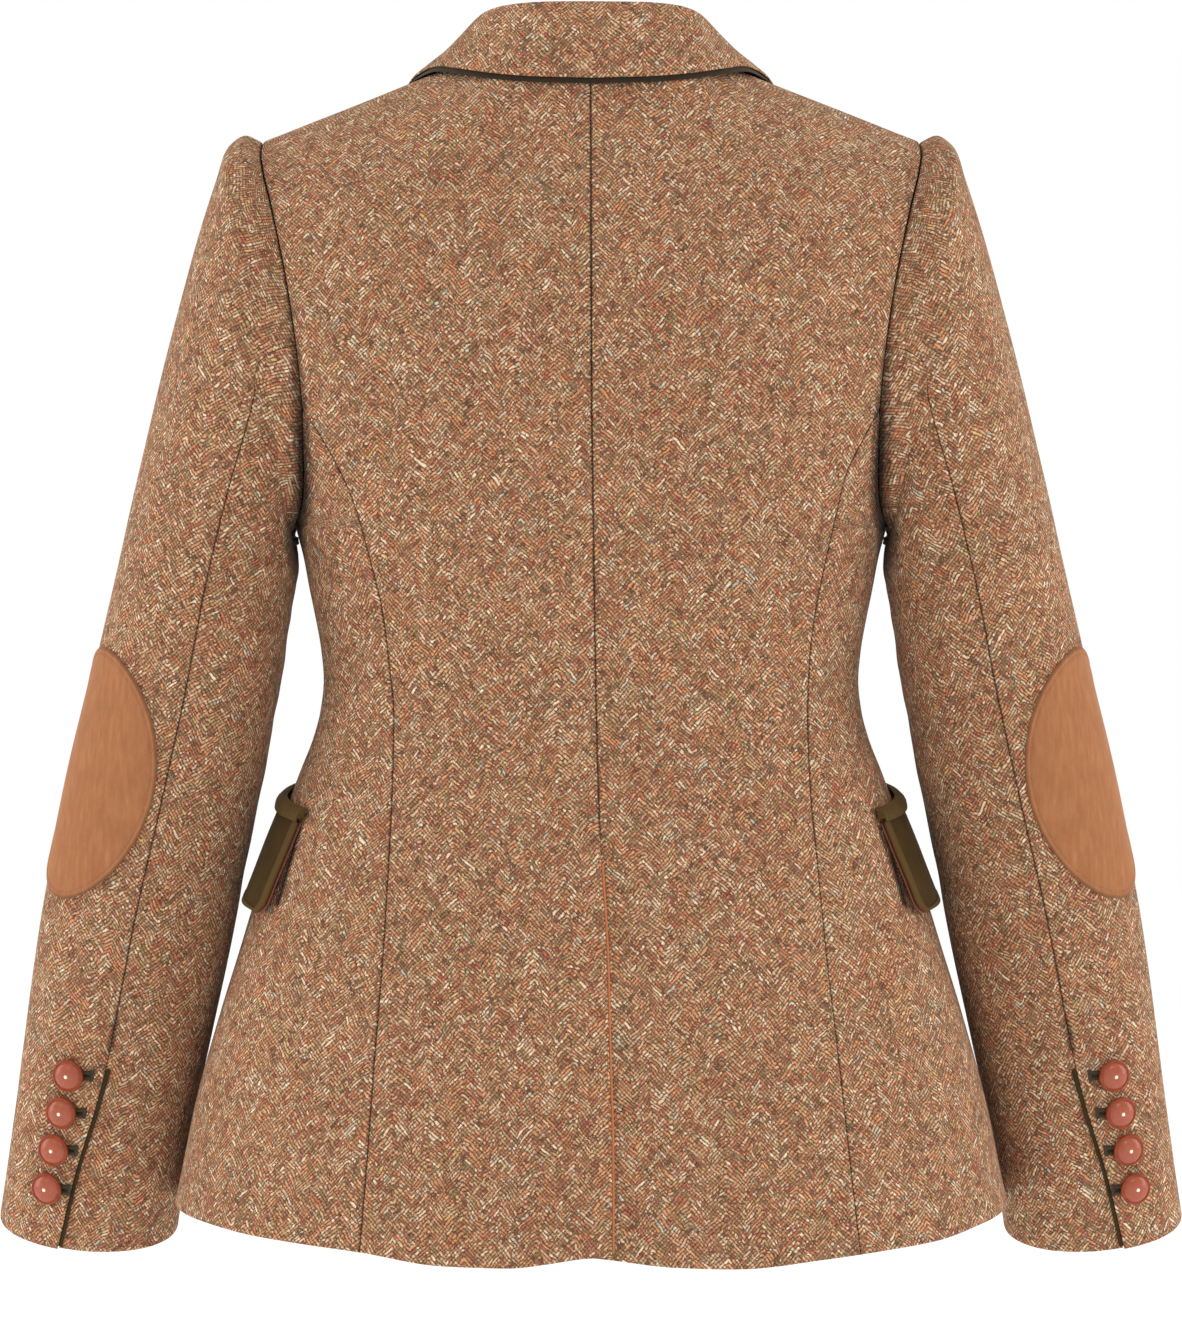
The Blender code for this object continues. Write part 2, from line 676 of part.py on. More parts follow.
COLLAR_ROLL = (
    (0.00, 0, 45.5, 31.4), (0.16, 30, 43.5, 31.1), (0.28, 48, 36.0, 30.3), (0.38, 60.0, 23.0, 28.0),
    (0.46, 66.5, 8.5, 23.0), (0.54, 71.5, -7.5, 14.5), (0.62, 72.5, -22.5, 4.0),
    (0.72, 69.0, -46.0, -12.0), (0.84, 60.0, -66.5, -36.0), (1.00, 48.5, -77.0, -65.0),
)
COLLAR_STAND = (
    (0.00, 0, 42.0, 13.0), (0.16, 29, 40.0, 13.4), (0.28, 45, 33.0, 13.4), (0.38, 55.5, 21.5, 12.8),
    (0.46, 61.5, 9.0, 11.4), (0.54, 63.6, -6.0, 6.0), (0.62, 62.6, -20.5, -3.5),
    (0.72, 57.0, -37.0, -17.0), (0.84, 48.0, -56.5, -40.0), (1.00, 40.0, -71.0, -67.0),
)
COLLAR_NECK = (
    (0.00, 0, 47.0, -4.0), (0.16, 31, 45.0, -3.0), (0.28, 48, 37.0, -1.5), (0.38, 58.5, 24.0, 0.5),
    (0.46, 64.5, 9.5, 2.0), (0.54, 63.4, -5.0, -1.0), (0.62, 60.0, -18.0, -8.0),
    (0.72, 55.0, -33.0, -24.0), (0.84, 46.0, -51.5, -45.5), (1.00, 37.5, -66.5, -70.0),
)


def collar_point(s, q):
    """q is 0 at the fall's edge, 2 at the roll and 4 at the neckline."""
    a = np.abs(s)
    guides = [np.stack([curve(g, k, a) for k in (1, 2, 3)], -1)
              for g in (COLLAR_EDGE, COLLAR_MID, COLLAR_ROLL, COLLAR_STAND, COLLAR_NECK)]
    # a rounded path through the five guides
    q = float(q)
    i = min(int(q), 3)
    t = q - i
    g = [2 * guides[0] - guides[1]] + guides + [2 * guides[4] - guides[3]]
    p0, p1, p2, p3 = g[i], g[i + 1], g[i + 2], g[i + 3]
    p = 0.5 * (2 * p1 + (p2 - p0) * t + (2 * p0 - 5 * p1 + 4 * p2 - p3) * t * t
               + (3 * p1 - p0 - 3 * p2 + p3) * t ** 3)
    p = p * np.stack([np.where(s < 0, -1.0, 1.0), 1 + 0 * a, 1 + 0 * a], -1)
    return p


def collar_sheet(qs, ss, inward):
    grid = np.array([collar_point(ss, q) for q in qs])
    dq = np.array([collar_point(ss, min(q + 0.04, 4)) - collar_point(ss, max(q - 0.04, 0)) for q in qs])
    ds = np.array([collar_point(ss + 0.004, q) - collar_point(ss - 0.004, q) for q in qs])
    n = unit(np.cross(ds, dq))
    # outward on the fall: away from the neck's axis, or up at the roll
    ref = grid[1] - np.array([0.0, 0.0, -30.0])
    sign = np.sign((n[1] * ref * [1, 1, 0.2]).sum(-1))
    n = n * sign[None, :, None]
    return grid - n * inward, n


def collar():
    ss = np.concatenate([np.linspace(-1, -0.62, 5), np.linspace(-0.54, 0.54, 15), np.linspace(0.62, 1, 5)])
    grid, n = collar_sheet((0.0, 0.5, 1.0, 1.35, 1.6, 1.85, 2.1, 2.45, 3.1, 3.9), ss, 0.0)
    shell("collar_upper", grid, n, grid_quads(len(grid), len(ss)), 1.6, TWEED)
    grid, n = collar_sheet((0.0, 0.5, 1.0, 1.35, 1.6), ss, (2.05 + 0.3 * ease((0.6 - np.abs(ss)) / 0.1))[:, None])
    # it shows past the tweed by a narrow edge
    grid[0] = grid[0] + unit(grid[0] - grid[1]) * 2.6
    shell("collar_under", grid, n, grid_quads(len(grid), len(ss)), 1.1, DARK)


# ---- lapels

LAPEL_COLS = ("r", "width")
LAPEL = ((0.0, 4.0), (0.15, 21.0), (0.4, 43.0), (0.7, 57.0), (1.0, 63.0))
GORGE = -70.0


def lapel(side):
    start = -177.0 if side > 0 else -214.0
    grid, norm = [], []
    for r in np.linspace(0, 1, 10):
        z = start + (GORGE - start) * r
        x = side * front_edge(side, z)
        full = (z - BREAK) / (GORGE - BREAK)
        w = float(curve(LAPEL, 1, full)) * (1.0 if side < 0 else float(ease(0.25 + r * 2.2)))
        tilt = math.radians(23.0 - 10.0 * full)
        ps, ns = [], []
        for q, lift in ((0.0, 2.2), (0.05, 3.9), (0.3, 4.4), (0.65, 4.3), (1.0, 4.1)):
            xx, zz = x + w * q * math.cos(tilt), z - w * q * math.sin(tilt)
            th = front_theta(side, side * xx, zz)
            p, n = front_body(side, np.array([th]), np.array([zz]))
            if q == 0.0:
                p[0, 0] -= side * 2.4
                n = unit(n + np.array([[-side * 1.2, 0, 0]]))
                ps.append(p[0] + np.array([0, -lift, 0]))
            else:
                ps.append(p[0] + n[0] * lift)
            ns.append(n[0])
        grid.append(ps)
        norm.append(ns)
    grid, norm = np.array(grid), np.array(norm)
    name = "lapel_left" if side > 0 else "lapel_right"
    shell(name, grid, norm, grid_quads(len(grid), 5), CLOTH, TWEED)


# ---- what lies on the sleeves

PATCH_V, PATCH_ANGLE = 384.0, 35.0        # its centre
PATCH_HALF = (52.0, 72.5, 12.0)           # half width, half height, tilt


def patch_point(r, be):
    wide, tall, tilt = PATCH_HALF
    t = math.radians(tilt)
    a0, b0 = wide * r * np.cos(be), tall * r * np.sin(be)
    a, b = a0 * math.cos(t) + b0 * math.sin(t), b0 * math.cos(t) - a0 * math.sin(t)
    return PATCH_V + b, math.radians(PATCH_ANGLE) + a / 56.0


def patch(side):
    rings, spokes = (0.34, 0.67, 1.0), 24
    be = np.arange(spokes) * 2 * math.pi / spokes
    pts, ns = [], []
    v, ph = patch_point(0.0, np.zeros(1))
    pts.append(sleeve(v, ph))
    ns.append(sleeve_normal(v, ph))
    for r in rings:
        v, ph = patch_point(r, be)
        pts.append(sleeve(v, ph))
        ns.append(sleeve_normal(v, ph))
    pts, ns = np.vstack(pts), np.vstack(ns)
    pts = pts + ns * (SUEDE + 1.2)
    pts[:, 0] *= side
    ns[:, 0] *= side
    faces = [(0, 1 + i, 1 + (i + 1) % spokes) for i in range(spokes)]
    for k in range(len(rings) - 1):
        a, b = 1 + k * spokes, 1 + (k + 1) * spokes
        faces += [(a + i, b + i, b + (i + 1) % spokes, a + (i + 1) % spokes) for i in range(spokes)]
    name = "elbow_patch_left" if side > 0 else "elbow_patch_right"
    shell(name, pts, ns, faces, SUEDE, (0.38, 0.14, 0.045))


def cuff_edge(side):
    """The dark facing that shows along the cuff vent's edge."""
    grid, norm = [], []
    for v in SLEEVE_ROWS:
        if v < CUFF_VENT + 20:
            continue
        ph = hind_seam(v) + np.array([0.35, 1.75]) / 46.0
        vv = np.full(2, min(float(v), 646.5))
        n = sleeve_normal(vv, ph)
        grid.append(sleeve(vv, ph) + n * 0.35)
        norm.append(n)
    grid, norm = np.array(grid), np.array(norm)
    grid[..., 0] *= side
    norm[..., 0] *= side
    name = "cuff_facing_left" if side > 0 else "cuff_facing_right"
    shell(name, grid, norm, grid_quads(len(grid), 2), 0.7, DARK)


def frame_at(p, n, up):
    n = unit(n)
    x = unit(np.cross(up, n))
    return np.stack([x, np.cross(n, x), n], -1)


BUTTON_COLS = ("radius", "height")
BUTTON = ((0.42, 1.5), (0.90, 1.9), (1.0, 3.0), (0.95, 4.3), (0.84, 4.5), (0.52, 5.9))
BUTTON_TOP = 6.4


def button(name, p, n, up, radius, sides=12):
    f = frame_at(p, n, up)
    verts = [p + f @ np.array([0, 0, BUTTON[0][1]])]
    for r, h in BUTTON:
        for k in range(sides):
            a = 2 * math.pi * k / sides
            verts.append(p + f @ np.array([radius * r * math.cos(a), radius * r * math.sin(a), h]))
    verts.append(p + f @ np.array([0, 0, BUTTON_TOP]))
    faces = [(0, 1 + (k + 1) % sides, 1 + k) for k in range(sides)]
    for j in range(len(BUTTON) - 1):
        a, b = 1 + j * sides, 1 + (j + 1) * sides
        for k in range(sides):
            m = (k + 1) % sides
            faces += [(a + k, a + m, b + m), (a + k, b + m, b + k)]
    a, last = 1 + (len(BUTTON) - 1) * sides, len(verts) - 1
    faces += [(a + k, a + (k + 1) % sides, last) for k in range(sides)]
    solid(name, verts, faces, (0.33, 0.07, 0.03), 0.3)


def cuff_v(ph, height):
    vs = np.linspace(500, 648, 200)
    z = sleeve(vs, np.full(200, ph))[:, 2]
    return float(np.interp(-height, -z, vs))


CUFF_COLS = ("z", "angle")
CUFF_BUTTONS = ((-573.5, 67.5), (-595.0, 66.5), (-616.5, 65.0), (-639.0, 64.0))


def cuff_buttons(side):
    word = "left" if side > 0 else "right"
    for k, (z, deg) in enumerate(CUFF_BUTTONS, 1):
        ph = math.radians(deg)
        v = cuff_v(ph, z)
        p, n = sleeve(v, ph), sleeve_normal(v, ph)
        up = unit(sleeve(v - 5, ph) - sleeve(v + 5, ph))
        flip = np.array([side, 1, 1])
        button("cuff_button_%s_%d" % (word, k), p * flip, n * flip, up * flip, 9.4)
        grid, norm = [], []
        for dv in (-2.9, 2.9):
            pp = ph + np.array([2.0, 7.0, 11.8]) / 48.0
            vv = np.full(3, v + dv)
            nn = sleeve_normal(vv, pp)
            near = ease(1 - np.abs(pp - hind_seam(v)) * 48.0 / 17.0) * ease((v - CUFF_VENT) / 14.0)
            grid.append(sleeve(vv, pp) + nn * (1.25 + 0.9 * near)[:, None])
            norm.append(nn)
        grid, norm = np.array(grid) * flip, np.array(norm) * flip
        shell("cuff_hole_%s_%d" % (word, k), grid, norm, grid_quads(2, 3), 0.6, DARK)


def front_buttons():
    for k, z in enumerate((-258.0, -343.0, -428.0), 1):
        p, n = front_body(1, np.array([math.pi]), np.array([z]))
        button("front_button_%d" % k, p[0] + n[0] * 1.5, n[0], np.array([0, 0, 1.0]), 10.5, 14)


# ---- vent facing and pockets

def vent_edge():
    grid, norm = [], []
    for level in [VENT_TOP - 14] + [z for z in STATIONS[::-1] if z < VENT_TOP - 20] + ["hem"]:
        z0 = -664.0 if level == "hem" else level
        x = float(curve(CENTRE, 1, z0)) + np.array([-1.9, -0.35])
        th = theta(x, np.full(2, z0))
        z = hem(th) + 1.5 if level == "hem" else np.full(2, z0)
        th = theta(x, z)
        n = body_normal(th, z)
        grid.append(body(th, z) + n * 0.6)
        norm.append(n)
    shell("vent_facing", np.array(grid), np.array(norm), grid_quads(len(grid), 2), 0.8, (0.5, 0.13, 0.03))


POCKET_BACK_Y, POCKET_TOP, POCKET_SLANT = 48.0, -430.0, 0.15
FLAP_WIDE, FLAP_TALL = 134.0, 52.0


def pocket_point(a, b):
    """On the left of the body: a runs forward from the pocket's back end, b
    down from its mouth."""
    z = POCKET_TOP + POCKET_SLANT * a - b
    back = curve(BODY, 2, z)
    n = curve(BODY, 4, z)
    start = float(np.arccos(np.clip((POCKET_BACK_Y / back) ** (n / 2), 0, 1)))
    th = np.linspace(start - 0.15, math.pi * 0.98, 300)
    p = body(th, np.full(300, z))
    length = np.concatenate([[0], np.cumsum(np.linalg.norm(np.diff(p, axis=0), axis=1))])
    length -= np.interp(start, th, length)
    t = float(np.interp(a, length, th))
    return body(t, z), body_normal(t, z)


def pocket_sheet(name, cells, thick, colour, side):
    """cells: rows of (a, b, lift)."""
    grid, norm = [], []
    for row in cells:
        ps, ns = [], []
        for a, b, lift in row:
            p, n = pocket_point(a, b)
            ps.append(p + n * lift)
            ns.append(n)
        grid.append(ps)
        norm.append(ns)
    grid, norm = np.array(grid), np.array(norm)
    dj = np.gradient(grid, axis=0)
    di = np.gradient(grid, axis=1)
    n = unit(np.cross(di, dj))
    n = n * np.sign((n * norm).sum(-1, keepdims=True))
    grid[..., 0] *= side
    n[..., 0] *= side
    shell(name, grid, n, grid_quads(len(grid), len(grid[0])), thick, colour)


def flap_lift(a, b):
    return 4.6 + 3.2 * (b / FLAP_TALL) * float(ease(1 - a / 90.0)) + 0.8 * b / FLAP_TALL


def pocket(side):
    word = "left" if side > 0 else "right"
    cols = np.linspace(0, 1, 8)
    rows = (0.8, 14.0, 28.0, 41.0, 49.0, FLAP_TALL)
    flap, lining = [], []
    for b in rows:
        trim = 4.5 if b == FLAP_TALL else 0.6 if b > 45 else 0.0
        lean = -6.0 * b / FLAP_TALL * (1 - cols)
        aa = trim + (FLAP_WIDE - 2 * trim) * cols + lean
        flap.append([(a, b, flap_lift(a, b)) for a in aa])
        aa = trim - 0.8 + (FLAP_WIDE - 2 * trim + 1.6) * cols + lean
        lining.append([(a, b + (0.6 if b == FLAP_TALL else 0), flap_lift(max(a, 0), b) - 2.65) for a in aa])
    pocket_sheet("pocket_flap_" + word, flap, 2.3, (0.10, 0.07, 0.02), side)
    pocket_sheet("flap_lining_" + word, lining, 0.7, (0.30, 0.05, 0.02), side)
    aa = -1.2 + (FLAP_WIDE + 2.4) * cols
    profile = ((-7.8, 2.3), (-7.6, 4.6), (-5.8, 6.6), (-3.0, 7.3), (-0.4, 7.0), (1.0, 6.7))
    welt = [[(a, b, lift) for a in aa] for b, lift in profile]
    pocket_sheet("pocket_welt_" + word, welt, 1.6, (0.11, 0.075, 0.022), side)


if __name__ == "__main__":
    for s in (1, -1):
        back_panel(s)
        side_back(s)
        front_panel(s)
        sleeve_panel(s, True)
        sleeve_panel(s, False)
        lapel(s)
        patch(s)
        cuff_edge(s)
        cuff_buttons(s)
        pocket(s)
    collar()
    vent_edge()
    front_buttons()
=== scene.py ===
import math

import bpy
import numpy as np
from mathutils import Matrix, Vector


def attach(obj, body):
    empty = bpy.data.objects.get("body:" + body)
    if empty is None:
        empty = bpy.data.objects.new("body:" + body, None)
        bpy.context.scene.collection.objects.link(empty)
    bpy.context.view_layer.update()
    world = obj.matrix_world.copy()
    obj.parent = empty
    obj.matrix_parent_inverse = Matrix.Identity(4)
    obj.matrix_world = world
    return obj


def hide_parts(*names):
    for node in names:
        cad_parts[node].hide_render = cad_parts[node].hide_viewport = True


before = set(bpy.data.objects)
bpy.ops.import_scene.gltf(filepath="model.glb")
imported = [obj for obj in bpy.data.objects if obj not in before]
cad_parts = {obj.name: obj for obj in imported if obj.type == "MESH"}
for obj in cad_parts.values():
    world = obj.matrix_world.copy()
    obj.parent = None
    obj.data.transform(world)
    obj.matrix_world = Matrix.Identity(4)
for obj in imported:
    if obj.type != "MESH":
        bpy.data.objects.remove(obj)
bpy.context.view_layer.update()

# ---------------------------------------------------------------------------
# The jacket's own form, in working millimetres: the same tables and functions
# as the solids are built from, worked out here at a finer step.
# ---------------------------------------------------------------------------

MM = 0.001            # working millimetres to metres
CLOTH = 1.8           # tweed with its interlining
GAP = 0.18            # half of the gap left at each seam
SUEDE = 1.2           # elbow patch
UNDERARM = -262.0     # height of the underarm point
TIP = -198.0          # where the curved back seam runs into the armhole
SHOULDER_X = 187.0    # shoulder point, half of the shoulder width
NECK_X = 72.0         # side-neck point
SHOULDER_SLOPE = 0.386
VENT_TOP = -438.0     # top of the centre vent
BREAK = -222.0        # where the lapel starts to roll
UNDERLAP = 36.0       # how far the vent's under side runs in
# The body's rings. side: half width; back, front: reach from y = 0 at the
# centre; squareness of the back half and of the front half.
BODY_COLS = ("z", "side", "back", "front", "sq_back", "sq_front")
BODY = (
    (-700, 254.0, 148, 131, 2.35, 2.25),
    (-650, 237.5, 140, 128, 2.35, 2.25),
    (-589, 224.5, 131, 125, 2.35, 2.25),
    (-538, 210.5, 122, 121, 2.35, 2.25),
    (-504, 200.0, 115, 118, 2.35, 2.25),
    (-470, 189.5, 108, 115, 2.35, 2.25),
    (-435, 177.5, 100, 112, 2.35, 2.25),
    (-401, 165.0, 92, 110, 2.35, 2.25),
    (-384, 158.3, 88, 110, 2.35, 2.25),
    (-367, 153.8, 85.5, 111, 2.35, 2.25),
    (-350, 152.0, 84.5, 113, 2.35, 2.25),
    (-333, 153.4, 85.5, 116, 2.35, 2.25),
    (-316, 156.3, 88, 120, 2.40, 2.25),
    (-299, 159.8, 91.5, 124, 2.45, 2.25),
    (-280, 163.4, 95.5, 128, 2.50, 2.25),
    (-262, 168.0, 99, 130, 2.55, 2.22),
    (-247, 170.5, 101.5, 131, 2.60, 2.20),
    (-230, 176.0, 103.5, 130, 2.60, 2.20),
    (-207, 185.5, 105, 125, 2.60, 2.20),
    (-185, 191.5, 105, 118, 2.60, 2.20),
    (-154, 195.0, 103, 107, 2.60, 2.20),
    (-111, 198.0, 95, 91, 2.60, 2.20),
    (-70, 202.0, 81, 74, 2.60, 2.20),
    (-43, 205.0, 68, 62, 2.60, 2.20),
    (0, 206.0, 52, 45, 2.60, 2.20),
    (45, 206.0, 40, 32, 2.60, 2.20),
)
# The shoulder's ridge by half width: y of the ridge, and how far below it the
# cloth still curves over.
RIDGE_COLS = ("x", "y", "reach")
RIDGE = (
    (0, 6, 40), (72, 6, 46), (100, 3, 62), (130, 0, 76), (160, -3, 78), (187, -6, 72),
)
# The armhole by height: half width on the back and on the front.
ARM_COLS = ("z", "x_back", "x_front")
ARMHOLE = (
    (-262, 168.0, 168.0), (-258, 164.6, 165.6), (-252, 162.6, 163.4), (-244, 161.4, 161.6),
    (-230, 160.9, 160.4), (-213, 160.8, 160.2), (-198, 161.2, 160.8),
    (-175, 163.2, 162.4), (-150, 166.4, 165.4), (-125, 170.6, 169.4),
    (-100, 175.8, 174.4), (-80, 180.6, 179.4), (-62, 185.4, 184.4), (-50, 187.4, 187.2),
    (-43, 187.0, 187.0),
)
# The curved seams between the back and the side-back panels, by height.
CURVED_COLS = ("z", "x_left", "x_right")
CURVED = (
    (-198, 161.2, 161.2), (-216, 149.5, 151.5), (-236, 138.5, 141.8), (-256, 130.4, 137.0),
    (-285, 122.6, 130.6), (-312, 116.4, 125.4), (-339, 113.0, 122.4), (-372, 110.0, 121.2),
    (-410, 110.5, 122.2), (-449, 112.0, 125.4), (-499, 114.6, 129.8), (-554, 118.6, 135.8),
    (-609, 122.4, 141.6), (-665, 126.6, 147.4), (-700, 129.0, 150.6),
)
# The centre-back line, by height: a seam down to the vent, then the edge of
# the left back, which laps over the right.
CENTRE_COLS = ("z", "x")
CENTRE = (
    (0, 0.3), (-190, -0.4), (-300, -1.8), (-361, -2.8), (-438, -5.0), (-502, -8.6),
    (-558, -10.0), (-598, -11.2), (-640, -11.4), (-700, -11.4),
)


SLOPES = {}


def curve(rows, column, at):
    """A smooth curve through one column of a table, with no overshoot."""
    key = (id(rows), column)
    if key not in SLOPES:
        x = np.array([r[0] for r in rows], float)
        y = np.array([r[column] for r in rows], float)
        if x[0] > x[-1]:
            x, y = x[::-1], y[::-1]
        h = np.diff(x)
        d = np.diff(y) / h
        m = np.empty_like(y)
        m[0], m[-1] = d[0], d[-1]
        for i in range(1, len(x) - 1):
            m[i] = 0.0 if d[i - 1] * d[i] <= 0 else 2 * d[i - 1] * d[i] / (d[i - 1] + d[i])
        SLOPES[key] = (x, y, h, m)
    x, y, h, m = SLOPES[key]
    at = np.clip(np.asarray(at, float), x[0], x[-1])
    i = np.clip(np.searchsorted(x, at) - 1, 0, len(h) - 1)
    t = (at - x[i]) / h[i]
    a = (1 + 2 * t) * (1 - t) ** 2
    b = t * (1 - t) ** 2
    c = t * t * (3 - 2 * t)
    e = t * t * (t - 1)
    return a * y[i] + b * h[i] * m[i] + c * y[i + 1] + e * h[i] * m[i + 1]


def ease(t):
    t = np.clip(t, 0.0, 1.0)
    return t * t * (3 - 2 * t)


def ridge_z(x):
    x = np.abs(x)
    return np.where(x > NECK_X, (NECK_X - x) * SHOULDER_SLOPE, (NECK_X - x) * 0.9) + 1.2


def unit(v):
    return v / np.maximum(np.linalg.norm(v, axis=-1, keepdims=True), 1e-9)


def flat_y(ax, z, back):
    """y of the ring at a half width and height, before the shoulder's arch."""
    w = curve(BODY, 1, z)
    d = np.where(back, curve(BODY, 2, z), curve(BODY, 3, z))
    n = np.where(back, curve(BODY, 4, z), curve(BODY, 5, z))
    q = np.clip(1 - np.clip(ax / w, 0, 1) ** n, 0, 1) ** (1 / n)
    return np.where(back, d * q, -d * q)


def arched(ax, z, y):
    yr = curve(RIDGE, 1, ax)
    t = np.clip((ridge_z(ax) - z) / curve(RIDGE, 2, ax), 0, 1)
    return yr + (y - yr) * np.sqrt(1 - (1 - t) ** 2)


def body(th, z):
    th, z = np.broadcast_arrays(np.asarray(th, float), np.asarray(z, float))
    a = np.abs(th)
    back = a <= math.pi / 2
    n = np.where(back, curve(BODY, 4, z), curve(BODY, 5, z))
    ax = curve(BODY, 1, z) * np.clip(np.sin(a), 0, 1) ** (2 / n)
    c = np.abs(np.cos(a)) ** (2 / n)
    y = np.where(back, curve(BODY, 2, z) * c, -curve(BODY, 3, z) * c)
    y = arched(ax, z, y)
    return np.stack([np.sign(th) * ax, y, z], -1)


def body_normal(th, z):
    th, z = np.broadcast_arrays(np.asarray(th, float), np.asarray(z, float))
    p = body(th, z)
    ax = np.abs(p[..., 0])
    back = np.abs(th) <= math.pi / 2
    dth = body(th + 0.004, z) - body(th - 0.004, z)
    dz = body(th, z + 0.5) - body(th, z - 0.5)
    plain = unit(np.cross(dth, dz))
    plain = plain * np.sign((plain * (p * [1, 1, 0])).sum(-1, keepdims=True) + 1e-12)

    # over the shoulder, by half width and by the angle around the arch
    reach = curve(RIDGE, 2, ax)
    t = np.clip((ridge_z(ax) - z) / reach, 0, 1)
    al = np.arccos(1 - t)

    def over(x, angle):
        zz = ridge_z(x) - curve(RIDGE, 2, x) * (1 - np.cos(angle))
        yr = curve(RIDGE, 1, x)
        y = yr + (flat_y(x, zz, back) - yr) * np.sin(angle)
        return np.stack([x, y, zz], -1)

    dx = over(ax + 0.5, al) - over(ax - 0.5, al)
    da = over(ax, al + 0.02) - over(ax, al - 0.02)
    arch = unit(np.cross(dx, da))
    arch = arch * np.where(arch[..., 2:] < 0, -1, 1)
    arch[..., 0] *= np.where(th < 0, -1, 1)
    return np.where((t < 0.96)[..., None], arch, plain)


def theta(x, z, front=False):
    """The ring angle of a half width at a height."""
    n = curve(BODY, 5 if front else 4, z)
    q = np.clip(np.abs(x) / curve(BODY, 1, z), 0, 1) ** (n / 2)
    a = np.arcsin(np.clip(q, 0, 1))
    return np.sign(x) * ((math.pi - a) if front else a)


def to_ridge(th, z, front):
    """Bring the top row's points from the neck outward onto the ridge."""
    x = body(th, z)[..., 0]
    top = ridge_z(x)
    on = np.abs(x) >= NECK_X - 0.4
    z = np.where(on, top, z)
    return np.where(on, theta(x, z, front), th), z


# The hem by ring angle in degrees: its height on the left and on the right.
# It rises a little at the vent and cuts up at the front edges.
HEM_COLS = ("degrees", "z_left", "z_right")
HEM = (
    (0, -663.5, -663.5), (8, -669.2, -668.8), (16, -668.4, -670.0), (28, -662.0, -666.0),
    (40, -658.2, -662.0), (50, -655.4, -659.0), (65, -650.8, -652.4), (90, -646.6, -646.8),
    (110, -647.0, -647.0), (135, -647.0, -647.0), (155, -643.0, -643.0), (180, -626.0, -626.0),
)


def hem(th):
    a = np.degrees(np.clip(np.abs(th), 0, math.pi))
    return np.where(np.asarray(th) >= 0, curve(HEM, 1, a), curve(HEM, 2, a))


def straight(th0, th1, z0, z1, steps=60):
    s = np.linspace(0, 1, steps)
    return th0 + (th1 - th0) * s, z0 + (z1 - z0) * s


def front_edge(side, z):
    """x of a front's own edge by height: overlapped, and cut away below."""
    x = -side * 17.0 if z > -430 else -side * (17.0 - 62.0 * float(ease((-430 - z) / 240.0)) ** 1.5)
    if z > BREAK:
        t = min((z - BREAK) / (1.0 - BREAK), 1.0)
        x = side * (-17.0 + (NECK_X + 0.3 + 17.0) * t ** 0.92)
    return x


def front_theta(side, x, z):
    """Ring angle of a signed x on the front, past the centre line too."""
    a = abs(float(theta(abs(x), z, True)))
    return side * (a if x * side >= 0 else 2 * math.pi - a)


def front_body(side, th, z):
    """The body's surface for a front, which may run past the centre line."""
    th = np.asarray(th, float) * side
    over = th > math.pi
    t = np.where(over, 2 * math.pi - th, th)
    p = body(t, z)
    n = body_normal(t, z)
    flip = np.where(over, -1.0, 1.0) * side
    p[..., 0] *= flip
    n[..., 0] *= flip
    return p, n


def front_lift(side, x, z):
    """The right front laps over the left below the break of the lapels."""
    out = 1.3 * ease((BREAK + 66 - z) / 24.0) * ease((54 - np.abs(x)) / 30.0)
    return out if side < 0 else -out


# Rings down the sleeve. out, in: outer and inner points in the back view;
# y: centre; depth: half of the ring from front to back; drop: how much lower
# the ring's back is than its middle.
SLEEVE_COLS = ("v", "out_x", "out_z", "in_x", "in_z", "y", "depth", "drop")
SLEEVE = (
    (0, 187.6, -42.6, 168.8, -262.6, 2, 66, 0),
    (8, 195.8, -39.9, 169.4, -265.4, 2, 67, 0),
    (20, 206.2, -46.4, 169.3, -268.2, 2, 68, 0),
    (38, 212.8, -65.0, 168.7, -271.2, 2, 68, 0),
    (68, 221.9, -93.5, 167.7, -275.2, 2, 67, 0),
    (103, 231.6, -127.7, 166.9, -279.8, 2, 66, 0),
    (156, 244.8, -179.0, 166.6, -286, 1, 64, 0),
    (208, 256.8, -230.0, 167.6, -294, 0, 62, 0),
    (262, 268.8, -281.6, 171.0, -311, -1, 60, 0),
    (332, 284.6, -350.0, 178.2, -359, -2, 57, 0),
    (402, 300.8, -418.4, 190.0, -420, -5, 54, 2),
    (472, 314.8, -486.8, 203.0, -486, -12, 51, 4),
    (541, 325.0, -555.2, 217.6, -553, -23, 47, 8),
    (600, 333.8, -612.0, 230.6, -610, -35, 44, 12),
    (648, 341.6, -658.5, 239.0, -666, -45, 41, 14),
)
# Angle of the hind seam round the ring, in degrees, down the sleeve.
SEAM_COLS = ("v", "degrees")
SEAM_BACK = (
    (0, 94.0), (20, 95.5), (50, 99.5), (103, 98.0), (156, 95.8), (208, 94.6), (262, 94.2),
    (330, 94.2), (400, 93.3), (455, 91.3), (500, 90.2), (541, 89.0), (570, 86.5), (610, 80.0),
    (648, 75.5),
)
SEAM_FRONT = -104.0   # angle of the front seam
CUFF_VENT = 541.0     # v of the top of the cuff's vent


def arm_ring(ph):
    """The armhole's own curve, by angle: 0 at the shoulder, pi/2 at the back."""
    ph = np.mod(np.asarray(ph, float), 2 * math.pi)
    back = ph <= math.pi
    c = np.cos(ph)
    z = (-43.0 + UNDERARM) / 2 + (-43.0 - UNDERARM) / 2 * np.sign(c) * np.abs(c) ** 0.86
    x = np.where(back, curve(ARMHOLE, 1, z), curve(ARMHOLE, 2, z))
    tb = theta(x, z)
    tf = theta(x, z, True)
    t = np.where(back, tb, tf)
    return body(t, z), body_normal(t, z)


